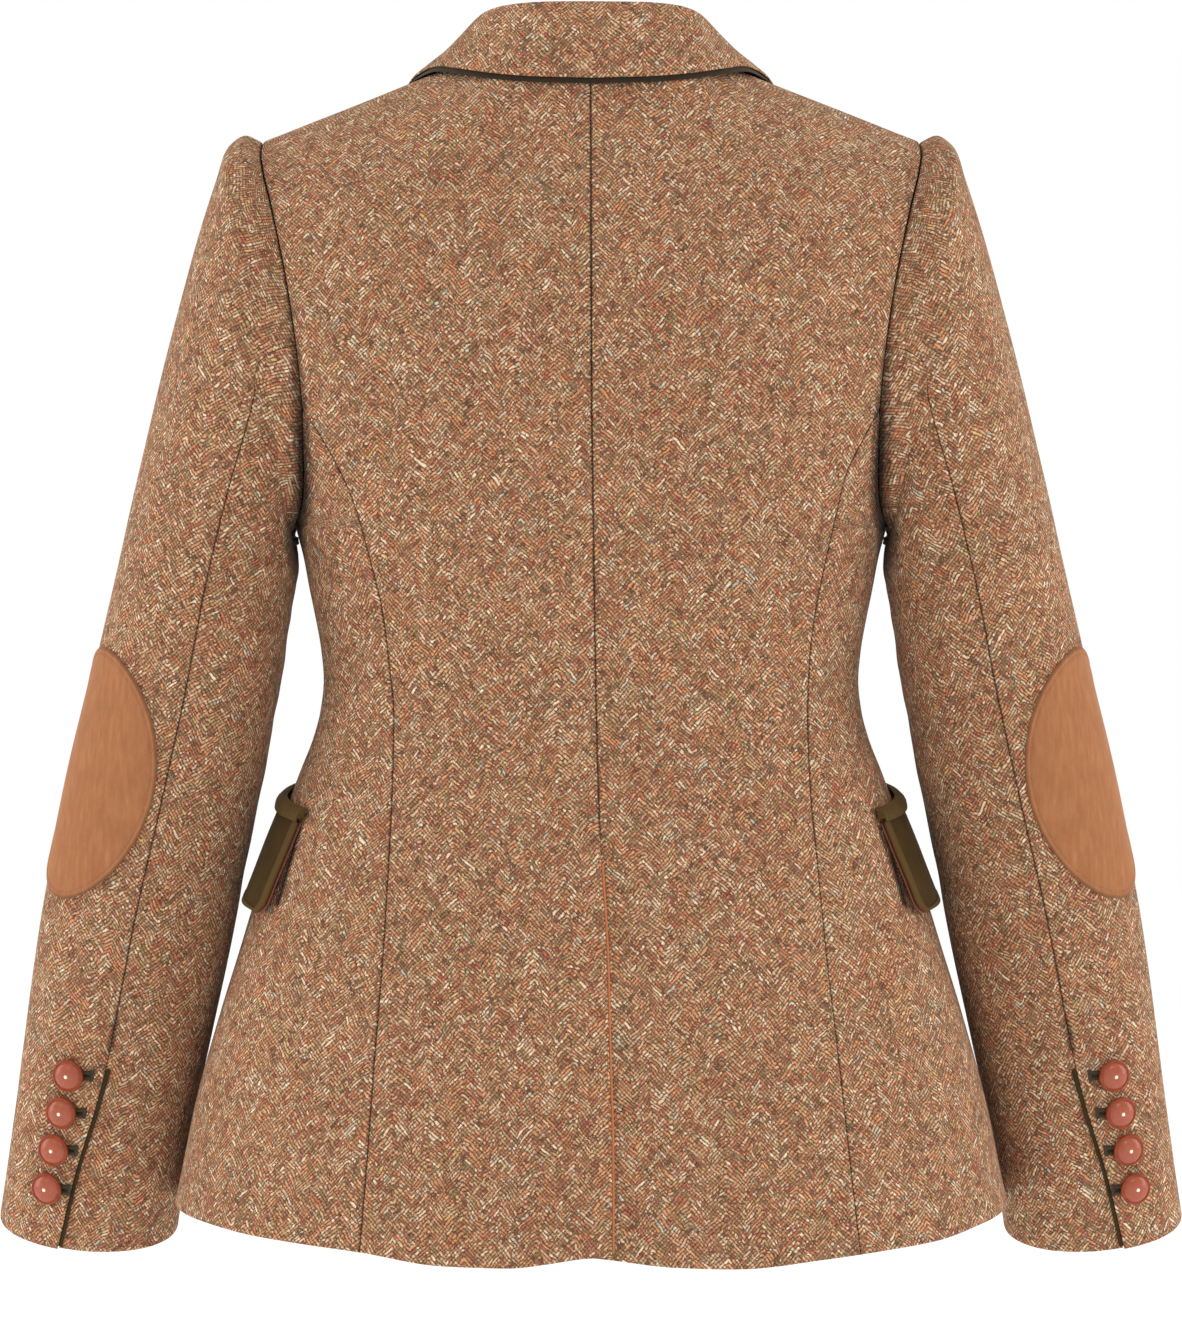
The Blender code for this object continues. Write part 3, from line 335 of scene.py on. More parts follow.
def sleeve(v, ph):
    """A point of the left sleeve; ph is 0 outside and pi/2 at the back."""
    v, ph = np.broadcast_arrays(np.asarray(v, float), np.asarray(ph, float))
    ox, oz = curve(SLEEVE, 1, v), curve(SLEEVE, 2, v)
    ix, iz = curve(SLEEVE, 3, v), curve(SLEEVE, 4, v)
    c, s = np.cos(ph), np.sin(ph)
    n = 2.15
    cc = np.sign(c) * np.abs(c) ** (2 / n)
    ss = np.sign(s) * np.abs(s) ** (2 / n)
    x = (ox + ix) / 2 + (ox - ix) / 2 * cc
    z = (oz + iz) / 2 + (oz - iz) / 2 * cc - curve(SLEEVE, 7, v) * ss
    y = curve(SLEEVE, 5, v) + curve(SLEEVE, 6, v) * ss
    p = np.stack([x, y, z], -1)
    a, _ = arm_ring(ph)
    a = a + np.stack([np.full(a.shape[:-1], 0.5 + 0.5), 0 * c, 0 * c], -1) * (1 + 0 * c)[..., None]
    k = ease(v / 30.0)[..., None]
    start = np.stack([(187.6 + 169.0) / 2 + (187.6 - 169.0) / 2 * cc,
                      2 + 66 * ss,
                      (-42.6 - 262.6) / 2 + (-42.6 + 262.6) / 2 * cc], -1)
    return p + (a - start) * (1 - k)


def sleeve_normal(v, ph):
    dv = sleeve(np.minimum(v + 2.0, 648.0), ph) - sleeve(np.maximum(v - 2.0, 0.0), ph)
    dp = sleeve(v, ph + 0.03) - sleeve(v, ph - 0.03)
    n = unit(np.cross(dp, dv))
    mid = np.stack([(curve(SLEEVE, 1, v) + curve(SLEEVE, 3, v)) / 2 + 0 * ph,
                    curve(SLEEVE, 5, v) + 0 * ph,
                    (curve(SLEEVE, 2, v) + curve(SLEEVE, 4, v)) / 2 + 0 * ph], -1)
    sign = np.sign((n * (sleeve(v, ph) - mid)).sum(-1, keepdims=True))
    return n * sign


def hind_seam(v):
    """Angle of the hind seam, which leans outward as the cuff's vent edge."""
    return math.radians(float(curve(SEAM_BACK, 1, v)))


COLLAR_COLS = ("s", "x", "y", "z")
COLLAR_EDGE = (
    (0.00, 0, 62.0, -13.2), (0.16, 32, 61.3, -12.3), (0.28, 54, 55.9, -10.0), (0.38, 74.4, 42.4, -5.6),
    (0.46, 89.2, 21.4, -2.0), (0.54, 99.2, -1.3, -3.8), (0.62, 107.4, -19.4, -12.6),
    (0.72, 112.0, -35.5, -27.2), (0.84, 112.2, -53.0, -47.0), (1.00, 104, -70.4, -72.0),
)
COLLAR_MID = (
    (0.00, 0, 56.6, 11.0), (0.16, 33, 54.9, 10.9), (0.28, 55, 47.0, 10.6), (0.38, 71.4, 32.0, 9.2),
    (0.46, 81.6, 15.4, 7.4), (0.54, 88, -4.0, 5.2), (0.62, 92.5, -21.0, -3.0),
    (0.72, 93.0, -39.5, -16.5), (0.84, 87.5, -60.0, -38.0), (1.00, 78, -73.6, -66.0),
)
COLLAR_ROLL = (
    (0.00, 0, 45.5, 31.4), (0.16, 30, 43.5, 31.1), (0.28, 48, 36.0, 30.3), (0.38, 60.0, 23.0, 28.0),
    (0.46, 66.5, 8.5, 23.0), (0.54, 71.5, -7.5, 14.5), (0.62, 72.5, -22.5, 4.0),
    (0.72, 69.0, -46.0, -12.0), (0.84, 60.0, -66.5, -36.0), (1.00, 48.5, -77.0, -65.0),
)
COLLAR_STAND = (
    (0.00, 0, 42.0, 13.0), (0.16, 29, 40.0, 13.4), (0.28, 45, 33.0, 13.4), (0.38, 55.5, 21.5, 12.8),
    (0.46, 61.5, 9.0, 11.4), (0.54, 63.6, -6.0, 6.0), (0.62, 62.6, -20.5, -3.5),
    (0.72, 57.0, -37.0, -17.0), (0.84, 48.0, -56.5, -40.0), (1.00, 40.0, -71.0, -67.0),
)
COLLAR_NECK = (
    (0.00, 0, 47.0, -4.0), (0.16, 31, 45.0, -3.0), (0.28, 48, 37.0, -1.5), (0.38, 58.5, 24.0, 0.5),
    (0.46, 64.5, 9.5, 2.0), (0.54, 63.4, -5.0, -1.0), (0.62, 60.0, -18.0, -8.0),
    (0.72, 55.0, -33.0, -24.0), (0.84, 46.0, -51.5, -45.5), (1.00, 37.5, -66.5, -70.0),
)


def collar_point(s, q):
    """q is 0 at the fall's edge, 2 at the roll and 4 at the neckline."""
    a = np.abs(s)
    guides = [np.stack([curve(g, k, a) for k in (1, 2, 3)], -1)
              for g in (COLLAR_EDGE, COLLAR_MID, COLLAR_ROLL, COLLAR_STAND, COLLAR_NECK)]
    # a rounded path through the five guides
    q = float(q)
    i = min(int(q), 3)
    t = q - i
    g = [2 * guides[0] - guides[1]] + guides + [2 * guides[4] - guides[3]]
    p0, p1, p2, p3 = g[i], g[i + 1], g[i + 2], g[i + 3]
    p = 0.5 * (2 * p1 + (p2 - p0) * t + (2 * p0 - 5 * p1 + 4 * p2 - p3) * t * t
               + (3 * p1 - p0 - 3 * p2 + p3) * t ** 3)
    p = p * np.stack([np.where(s < 0, -1.0, 1.0), 1 + 0 * a, 1 + 0 * a], -1)
    return p


LAPEL_COLS = ("r", "width")
LAPEL = ((0.0, 4.0), (0.15, 21.0), (0.4, 43.0), (0.7, 57.0), (1.0, 63.0))
GORGE = -70.0
PATCH_V, PATCH_ANGLE = 384.0, 35.0        # its centre
PATCH_HALF = (52.0, 72.5, 12.0)           # half width, half height, tilt


def patch_point(r, be):
    wide, tall, tilt = PATCH_HALF
    t = math.radians(tilt)
    a0, b0 = wide * r * np.cos(be), tall * r * np.sin(be)
    a, b = a0 * math.cos(t) + b0 * math.sin(t), b0 * math.cos(t) - a0 * math.sin(t)
    return PATCH_V + b, math.radians(PATCH_ANGLE) + a / 56.0


def frame_at(p, n, up):
    n = unit(n)
    x = unit(np.cross(up, n))
    return np.stack([x, np.cross(n, x), n], -1)


BUTTON_COLS = ("radius", "height")
BUTTON = ((0.42, 1.5), (0.90, 1.9), (1.0, 3.0), (0.95, 4.3), (0.84, 4.5), (0.52, 5.9))
BUTTON_TOP = 6.4


def cuff_v(ph, height):
    vs = np.linspace(500, 648, 200)
    z = sleeve(vs, np.full(200, ph))[:, 2]
    return float(np.interp(-height, -z, vs))


CUFF_COLS = ("z", "angle")
CUFF_BUTTONS = ((-573.5, 67.5), (-595.0, 66.5), (-616.5, 65.0), (-639.0, 64.0))
POCKET_BACK_Y, POCKET_TOP, POCKET_SLANT = 48.0, -430.0, 0.15
FLAP_WIDE, FLAP_TALL = 134.0, 52.0


def flap_lift(a, b):
    return 4.6 + 3.2 * (b / FLAP_TALL) * float(ease(1 - a / 90.0)) + 0.8 * b / FLAP_TALL

# ---------------------------------------------------------------------------
# Meshes
# ---------------------------------------------------------------------------

FLIP = np.array([-1.0, 1.0, 1.0])


def piece(name, verts, faces, mats, uv=None, near=None, sharp=(), face_mat=None):
    """A mesh from millimetre points. uv is the cloth's own millimetres; near is the distance to the closest seam or
    edge, which the materials turn into painted shade; some pieces lower it further, below zero too, to paint deeper
    shade."""
    mesh = bpy.data.meshes.new(name)
    mesh.from_pydata((np.asarray(verts, float) * MM).tolist(), [], faces)
    mesh.update(calc_edges=True)
    mesh.shade_smooth()
    for m in mats if isinstance(mats, (list, tuple)) else [mats]:
        mesh.materials.append(m)
    if face_mat is not None:
        mesh.polygons.foreach_set("material_index", np.asarray(face_mat, dtype=np.int32))
    if uv is not None:
        loops = np.empty(len(mesh.loops), dtype=np.int32)
        mesh.loops.foreach_get("vertex_index", loops)
        layer = mesh.uv_layers.new(name="cloth")
        layer.data.foreach_set("uv", np.asarray(uv, float)[loops].ravel())
    if near is not None:
        at = mesh.attributes.new("near", "FLOAT", "POINT")
        at.data.foreach_set("value", np.asarray(near, float).ravel())
    if len(sharp):
        pairs = {frozenset(p) for p in sharp}
        edges = np.empty(len(mesh.edges) * 2, dtype=np.int32)
        mesh.edges.foreach_get("vertices", edges)
        flags = [frozenset(e) in pairs for e in edges.reshape(-1, 2).tolist()]
        at = mesh.attributes.new("sharp_edge", "BOOLEAN", "EDGE")
        at.data.foreach_set("value", flags)
    ob = bpy.data.objects.new(name, mesh)
    bpy.context.collection.objects.link(ob)
    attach(ob, "root")
    return ob


def mirror(grid, side):
    grid = np.array(grid, float)
    if side < 0:
        grid[..., 0] *= -1
    return grid


# where the sleeve's edge meets the body at the back: height, distance from the centre
ARMPIT = ((-300.0, 168.0), (-264.0, 165.5), (-257.0, 163.0), (-246.0, 161.1), (-221.0, 161.3),
          (-193.0, 162.3), (-164.0, 165.1), (-136.0, 169.3), (-100.0, 174.0))


def armpit_shade(p, sleeve_side):
    """The deep soft shade where the sleeve hangs against the body's back."""
    x, y, z = np.abs(p[..., 0]), p[..., 1], p[..., 2]
    line = np.interp(z, [a for a, _ in ARMPIT], [b for _, b in ARMPIT])
    far = np.maximum(x - line if sleeve_side else line - x, 0.0)
    deep = ease((-105.0 - z) / 130.0) * ease((z + 302.0) / 30.0) * ease((y + 25.0) / 20.0)
    reach = (7.0 if sleeve_side else 5.0) * deep + 1.0
    fade = 1.0 - np.clip((far - 1.6 * deep) / reach, 0.0, 1.0)
    return 0.9 - 1.75 * deep * fade ** 1.3


def cloth(name, outer, normals, thick, uv, mats, near, keep=None, side=1, wrap=False, inner_mat=None, tuck=None):
    """A thin closed wall: a grid of outer points, its inner side and its rim.
    tuck gives, for the first and last column and row, how far the inner side
    runs on under a seam, so that the seam is closed."""
    outer, normals = mirror(outer, side), mirror(normals, side)
    if "_right" in name:
        uv = np.asarray(uv, float) + np.array([319.7, 211.3])
    nr, nc = outer.shape[:2]
    # painted shade: the back, side-back and sleeve pieces take the deep shade under the arm into near
    if name.startswith(("back_", "side_back_", "sleeve_")):
        near = np.asarray(near, float).reshape(nr, nc)
        shade = armpit_shade(outer, name.startswith("sleeve_"))
        near = np.where(shade < 0.9, np.minimum(near, shade), near)
    thick = np.broadcast_to(np.asarray(thick, float), (nr, nc))
    inner = outer - normals * thick[..., None]
    for where, far in (tuck or {}).items():
        far = np.asarray(far, float)
        if where == "left":
            inner[:, 0] += unit(outer[:, 0] - outer[:, 1]) * far[..., None]
        elif where == "right":
            inner[:, -1] += unit(outer[:, -1] - outer[:, -2]) * far[..., None]
        elif where == "first":
            inner[0] += unit(outer[0] - outer[1]) * far
        elif where == "last":
            inner[-1] += unit(outer[-1] - outer[-2]) * far
        else:
            inner[:, where] += unit(outer[:, where] - outer[:, where + 1]) * far[..., None]
    cells = np.ones((nr - 1, nc if wrap else nc - 1), bool) if keep is None else keep
    j, i = np.nonzero(cells)
    k = (i + 1) % nc
    quads = np.stack([j * nc + i, j * nc + k, (j + 1) * nc + k, (j + 1) * nc + i], 1)
    p = outer.reshape(-1, 3)
    q = quads[len(quads) // 2]
    if np.cross(p[q[1]] - p[q[0]], p[q[2]] - p[q[0]]) @ normals.reshape(-1, 3)[q[0]] < 0:
        quads = quads[:, ::-1]
    count = {}
    for a, b, c, d in quads.tolist():
        for e in ((a, b), (b, c), (c, d), (d, a)):
            count[e] = 1
    n = nr * nc
    faces = quads.tolist() + (quads[:, ::-1] + n).tolist()
    rim = [(a, b) for (a, b) in count if (b, a) not in count]
    faces += [(b, a, a + n, b + n) for a, b in rim]
    used = np.unique(np.array([v for f in faces for v in f]))
    at = np.full(2 * n, -1)
    at[used] = np.arange(len(used))
    verts = np.vstack([p, inner.reshape(-1, 3)])[used]
    at_list = at.tolist()
    faces = [tuple(at_list[v] for v in f) for f in faces]
    sharp = [(at_list[a], at_list[b]) for a, b in rim] + [(at_list[a + n], at_list[b + n]) for a, b in rim]
    uv = np.asarray(uv, float).reshape(-1, 2)
    uv2 = np.vstack([uv, uv])[used]
    near = np.asarray(near, float).ravel()
    near2 = np.concatenate([near, near])[used]
    face_mat = None
    if inner_mat is not None:
        mats = [mats, inner_mat]
        face_mat = [0] * len(quads) + [1] * len(quads) + [0] * len(rim)
    return piece(name, verts, faces, mats, uv2, near2, sharp, face_mat)


def along(points, axis):
    """Running length through a grid of points."""
    d = np.linalg.norm(np.diff(points, axis=axis), axis=-1)
    z = np.zeros_like(np.take(points[..., 0], [0], axis=axis))
    return np.concatenate([z, np.cumsum(d, axis=axis)], axis=axis)


STEPS = (0.0, 0.35, 0.8, 1.35, 2.0, 2.9, 4.2, 6.2)


def spaced(length, count, closer=(True, True)):
    """Places along a length, closer together at its ends."""
    steps = np.array(STEPS) * min(1.0, length / 40.0)
    a = steps if closer[0] else np.array([0.0])
    b = steps if closer[1] else np.array([0.0])
    mid = np.linspace(a[-1], length - b[-1], count - len(a) - len(b) + 2)
    return np.concatenate([a[:-1], mid, (length - b[::-1])[1:]])


def edge_distances(p):
    """Distance of each grid point from the left, right, first and last edges."""
    across, up = along(p, 1), along(p, 0)
    return across, across[:, -1:] - across, up, up[-1:] - up


def groove(d, deep=0.55, wide=0.5, swell=0.2):
    """A sewn seam: a narrow trough with the turnings' soft swell beside it."""
    return -deep * np.exp(-((d / wide) ** 1.6)) + swell * np.exp(-(((d - 4.5) / 3.6) ** 2))


def folded(d, half=0.8, reach=1.5):
    """How far a turned edge draws in on each side of the cloth."""
    t = np.clip(1 - d / reach, 0, 1)
    return half * (1 - np.sqrt(np.clip(1 - t * t, 0, 1)))


def waver(x, y, seed, size):
    """A slow uneven wave, the cloth's own unevenness."""
    a = np.random.RandomState(seed)
    out = 0.0
    for k in range(5):
        f = (0.6 + 1.1 * a.rand()) / size
        t = a.rand() * 6.283
        ph = a.rand() * 6.283
        out = out + np.sin(6.283 * f * (x * math.cos(t) + y * math.sin(t)) + ph)
    return out / 5.0


def dressed(p, n, left=None, right=None, first=None, last=None, thick=CLOTH, wave=0.22, seed=1, more=None):
    """Works seams ('seam') and turned edges ('fold') into a panel's surface.
    Gives the outer points, the wall's thickness and the nearness map, which the tweed turns into painted shade at seams
    and edges."""
    d = edge_distances(p)
    lift = wave * waver(p[..., 0] + p[..., 1], p[..., 2], seed, 130.0)
    near = np.full(p.shape[:2], 60.0)
    free = np.full(p.shape[:2], 60.0)
    for kind, dist in zip((left, right, first, last), d):
        if kind == "seam":
            lift = lift + groove(dist)
            near = np.minimum(near, dist)
        elif kind == "fold":
            free = np.minimum(free, dist)
    if more is not None:
        lift = lift + more
    drop = folded(free)
    near = np.minimum(near, free + 1.1)
    return p + n * (lift - drop)[..., None], thick - 2 * drop + 0.0 * lift, near


# ---------------------------------------------------------------------------
# Materials
# ---------------------------------------------------------------------------


class Shade:
    """A small helper for building one node material."""

    def __init__(self, name):
        self.mat = bpy.data.materials.new(name)
        self.mat.use_nodes = True
        self.tree = self.mat.node_tree
        self.tree.nodes.clear()
        self.bsdf = self.node("ShaderNodeBsdfPrincipled")
        out = self.node("ShaderNodeOutputMaterial")
        self.tree.links.new(self.bsdf.outputs[0], out.inputs[0])

    def node(self, kind, **props):
        n = self.tree.nodes.new(kind)
        for k, v in props.items():
            setattr(n, k, v)
        return n

    def put(self, socket, value):
        if isinstance(value, bpy.types.NodeSocket):
            self.tree.links.new(value, socket)
        else:
            socket.default_value = value

    def m(self, op, a, b=0.0, c=0.0, clamp=False):
        n = self.node("ShaderNodeMath", operation=op, use_clamp=clamp)
        for s, v in zip(n.inputs, (a, b, c)):
            self.put(s, v)
        return n.outputs[0]

    def xyz(self, a, b, c=0.0):
        n = self.node("ShaderNodeCombineXYZ")
        for s, v in zip(n.inputs, (a, b, c)):
            self.put(s, v)
        return n.outputs[0]

    def blend(self, fac, a, b, kind="MIX"):
        n = self.node("ShaderNodeMix", data_type="RGBA", blend_type=kind, clamp_factor=True)
        self.put(n.inputs[0], fac)
        for s, v in ((n.inputs[6], a), (n.inputs[7], b)):
            self.put(s, (*v, 1.0) if isinstance(v, tuple) and len(v) == 3 else v)
        return n.outputs[2]

    def pick(self, fac, a, b):
        n = self.node("ShaderNodeMix", data_type="FLOAT")
        self.put(n.inputs[0], fac)
        self.put(n.inputs[2], a)
        self.put(n.inputs[3], b)
        return n.outputs[0]

    def range(self, value, a, b, c=0.0, d=1.0, smooth=False):
        n = self.node("ShaderNodeMapRange", interpolation_type="SMOOTHSTEP" if smooth else "LINEAR")
        for s, v in zip(n.inputs, (value, a, b, c, d)):
            self.put(s, v)
        return n.outputs[0]

    def ramp(self, fac, stops, mode="LINEAR"):
        n = self.node("ShaderNodeValToRGB")
        n.color_ramp.interpolation = mode
        el = n.color_ramp.elements
        while len(el) < len(stops):
            el.new(0.5)
        for e, (at, colour) in zip(el, stops):
            e.position = at
        for e, (at, colour) in zip(el, stops):
            e.color = (*colour, 1.0)
        self.put(n.inputs[0], fac)
        return n.outputs[0]

    def noise(self, vector, scale, detail=2.0, rough=0.5):
        n = self.node("ShaderNodeTexNoise")
        self.put(n.inputs["Vector"], vector)
        n.inputs["Scale"].default_value = scale
        n.inputs["Detail"].default_value = detail
        n.inputs["Roughness"].default_value = rough
        return n.outputs[0]

    def chance(self, vector):
        n = self.node("ShaderNodeTexWhiteNoise", noise_dimensions="3D")
        self.put(n.inputs["Vector"], vector)
        return n.outputs["Value"]

    def cloth(self):
        """The cloth's own coordinates in millimetres, across and along."""
        uv = self.node("ShaderNodeUVMap", uv_map="cloth")
        n = self.node("ShaderNodeSeparateXYZ")
        self.put(n.inputs[0], uv.outputs[0])
        return n.outputs[0], n.outputs[1], uv.outputs[0]

    def place(self):
        return self.node("ShaderNodeTexCoord").outputs["Object"]

    def near(self):
        return self.node("ShaderNodeAttribute", attribute_name="near").outputs["Fac"]

    def bump(self, height, distance, strength=1.0, over=None):
        n = self.node("ShaderNodeBump")
        n.inputs["Strength"].default_value = strength
        n.inputs["Distance"].default_value = distance
        self.put(n.inputs["Height"], height)
        if over is not None:
            self.put(n.inputs["Normal"], over)
        return n.outputs[0]

    def finish(self, colour, rough, normal, sheen=0.0, sheen_rough=0.5, sheen_tint=(1, 1, 1), specular=0.5, coat=0.0, coat_rough=0.1, ior=1.45):
        b = self.bsdf.inputs
        self.put(b["Base Color"], (*colour, 1.0) if isinstance(colour, tuple) and len(colour) == 3 else colour)
        self.put(b["Roughness"], rough)
        self.put(b["Normal"], normal)
        b["Metallic"].default_value = 0.0
        b["Sheen Weight"].default_value = sheen
        b["Sheen Roughness"].default_value = sheen_rough
        b["Sheen Tint"].default_value = (*sheen_tint, 1.0)
        b["Specular IOR Level"].default_value = specular
        b["Coat Weight"].default_value = coat
        b["Coat Roughness"].default_value = coat_rough
        b["IOR"].default_value = ior
        return self.mat


RIB_PITCH, STRIPE = 1.74, 9.96
HEATHER = (0.845, 0.86, 0.885)

RIB_COLOURS = (
    (0.00, (0.56, 0.285, 0.145)), (0.20, (0.62, 0.39, 0.225)), (0.36, (0.60, 0.255, 0.115)),
    (0.52, (0.72, 0.53, 0.34)), (0.64, (0.42, 0.27, 0.125)), (0.76, (0.45, 0.155, 0.080)),
    (0.87, (0.29, 0.145, 0.080)), (0.955, (0.50, 0.44, 0.33)), (0.978, (0.60, 0.38, 0.15)), (0.990, (0.40, 0.110, 0.070)),
)
CROSS_COLOURS = (
    (0.00, (0.34, 0.160, 0.082)), (0.22, (0.47, 0.185, 0.088)), (0.40, (0.27, 0.170, 0.080)),
    (0.54, (0.54, 0.31, 0.165)), (0.72, (0.17, 0.085, 0.048)), (0.83, (0.31, 0.090, 0.055)), (0.92, (0.60, 0.43, 0.27)),
)
RIB_SLOPE = math.radians(47.0)


def tweed(name="tweed", painted_shade_factor=1.0):
    """Herringbone in heathered yarn: two sets of slanting ribs that cross, each
    with its own floats; the set on top changes its lean from column to column."""
    s = Shade(name)
    u0, v0, uv = s.cloth()
    wob = s.noise(uv, 0.05, 2.0)
    wob2 = s.noise(s.xyz(v0, u0), 0.055, 2.0)
    u = s.m("ADD", u0, s.m("MULTIPLY", s.m("SUBTRACT", wob, 0.5), 8.5))
    v = s.m("ADD", v0, s.m("MULTIPLY", s.m("SUBTRACT", wob2, 0.5), 4.0))
    u = s.m("ADD", u, 4000.0)
    v = s.m("ADD", v, 4000.0)
    stripe = s.m("FLOOR", s.m("DIVIDE", u, STRIPE))
    # the columns mirror one another, so that the ribs meet in points
    fold = s.m("ABSOLUTE", s.m("SUBTRACT", s.m("FLOORED_MODULO", u, 2 * STRIPE), STRIPE))
    across_part = s.m("MULTIPLY", fold, math.sin(RIB_SLOPE) / RIB_PITCH)
    along_part = s.m("MULTIPLY", v, math.cos(RIB_SLOPE) / RIB_PITCH)
    jitter = s.m("MULTIPLY", s.m("SUBTRACT", s.noise(uv, 0.42, 1.0), 0.5), 0.55)
    a = s.m("ADD", s.m("SUBTRACT", across_part, along_part), s.m("ADD", jitter, 4000.0))
    b = s.m("SUBTRACT", s.m("ADD", across_part, along_part), jitter)
    i, j = s.m("FLOOR", a), s.m("FLOOR", b)
    fa, fb = s.m("FRACT", a), s.m("FRACT", b)
    # here and there the weave slips, and the other set comes to the top
    slip = s.m("FLOOR", s.m("MULTIPLY", s.noise(uv, 0.14, 1.0), 12.0))
    other = s.m("GREATER_THAN", s.noise(s.xyz(v0, u0, 7.0), 0.11, 1.0), 0.56)
    step = s.m("ADD", s.m("ADD", i, j), slip)
    k = s.m("FLOORED_MODULO", step, 3.0)
    q = s.m("FLOOR", s.m("DIVIDE", step, 3.0))
    first = s.m("GREATER_THAN", k, 0.5)
    rib = s.m("ABSOLUTE", s.m("SUBTRACT", first, other))
    ca = s.m("SUBTRACT", s.m("MULTIPLY", fa, 2.0), 1.0)
    cb = s.m("SUBTRACT", s.m("MULTIPLY", fb, 2.0), 1.0)
    ra = s.m("MAXIMUM", s.m("SUBTRACT", 1.0, s.m("MULTIPLY", ca, ca)), 0.0)
    rb = s.m("MAXIMUM", s.m("SUBTRACT", 1.0, s.m("MULTIPLY", cb, cb)), 0.0)
    # long floats run over two crossings, short ones over one
    far = s.m("SUBTRACT", s.m("ADD", s.m("SUBTRACT", k, 1.0), s.pick(rib, fa, fb)), 1.0)
    far2 = s.pick(rib, ca, cb)
    reach = s.pick(first, far2, far)
    end = s.m("SUBTRACT", 1.0, s.m("MULTIPLY", s.m("MULTIPLY", reach, reach), 0.80), clamp=True)
    top = s.m("MULTIPLY", s.pick(rib, rb, ra), s.m("POWER", end, 0.6))
    below = s.m("MULTIPLY", s.pick(rib, ra, rb), 0.42)
    over = s.range(top, 0.26, 0.44, smooth=True)
    height = s.m("MAXIMUM", top, below)
    one = s.xyz(s.pick(rib, j, i), s.m("ADD", q, s.m("MULTIPLY", stripe, 5.0)), s.m("MULTIPLY", rib, 17.0))
    two = s.xyz(s.pick(rib, i, j), s.m("ADD", q, s.m("MULTIPLY", stripe, 3.0)), s.m("ADD", s.m("MULTIPLY", rib, 11.0), 40.0))
    strand = s.chance(s.xyz(s.pick(rib, j, i), s.m("MULTIPLY", rib, 31.0), stripe))
    fleck = s.m("FRACT", s.m("ADD", s.chance(one), s.m("MULTIPLY", strand, 0.35)))
    fleck2 = s.chance(two)
    upper = s.blend(rib, s.ramp(fleck, CROSS_COLOURS, "CONSTANT"), s.ramp(fleck, RIB_COLOURS, "CONSTANT"))
    lower = s.blend(rib, s.ramp(fleck2, RIB_COLOURS, "CONSTANT"), s.ramp(fleck2, CROSS_COLOURS, "CONSTANT"))
    # painted shade: the yarns lying underneath are darkened
    lower = s.blend(1.0, lower, (0.66, 0.62, 0.60), "MULTIPLY")
    colour = s.blend(over, lower, upper)
    # the yarns' own fibres lie along the ribs
    fibre = s.noise(s.xyz(s.m("MULTIPLY", a, s.pick(rib, 2.2, 5.5)), s.m("MULTIPLY", b, s.pick(rib, 5.5, 2.2)), rib), 1.0, 2.0, 0.6)
    cloud = s.noise(uv, 0.022, 3.0, 0.55)
    level = s.range(fibre, 0.25, 0.75, 0.72, 1.30)
    # painted shade and light: darker where the weave lies low, lighter on the floats' crowns
    level = s.m("MULTIPLY", level, s.range(height, 0.08, 0.95, 0.34, 1.26))
    level = s.m("MULTIPLY", level, s.range(s.chance(s.xyz(s.m("ADD", i, 0.5), s.m("ADD", j, 0.5), s.m("ADD", rib, 3.0))), 0.0, 1.0, 0.80, 1.20))
    level = s.m("MULTIPLY", level, s.range(cloud, 0.3, 0.7, 0.97, 1.03))
    # painted shade: darker within a millimetre of each seam and turned edge, and much darker where near drops below
    # zero (under the arm, beside the flap, on the vent's under lap, at the top of the cuff's vent)
    level = s.m("MULTIPLY", level, s.range(s.near(), 0.0, 0.9, 0.42, 1.0, smooth=True))
    level = s.m("MULTIPLY", level, s.range(s.near(), -1.0, 0.0, 0.10, 1.0, smooth=True))
    # painted shade: the whole cloth is darkened by this factor, for the copy used on the inner faces
    level = s.m("MULTIPLY", level, painted_shade_factor)
    colour = s.blend(1.0, colour, s.xyz(level, level, level), "MULTIPLY")
    colour = s.blend(1.0, colour, HEATHER, "MULTIPLY")
    fuzz = s.noise(s.xyz(s.m("MULTIPLY", u, 1.3), s.m("MULTIPLY", v, 1.3)), 1.0, 3.0, 0.7)
    tall = s.m("ADD", height, s.m("MULTIPLY", fuzz, 0.30))
    bump = s.bump(tall, 0.00055, 0.9)
    return s.finish(colour, s.range(height, 0.0, 1.0, 0.98, 0.86), bump,
                    sheen=0.10, sheen_rough=0.45, sheen_tint=(1.0, 0.84, 0.66), specular=0.15)


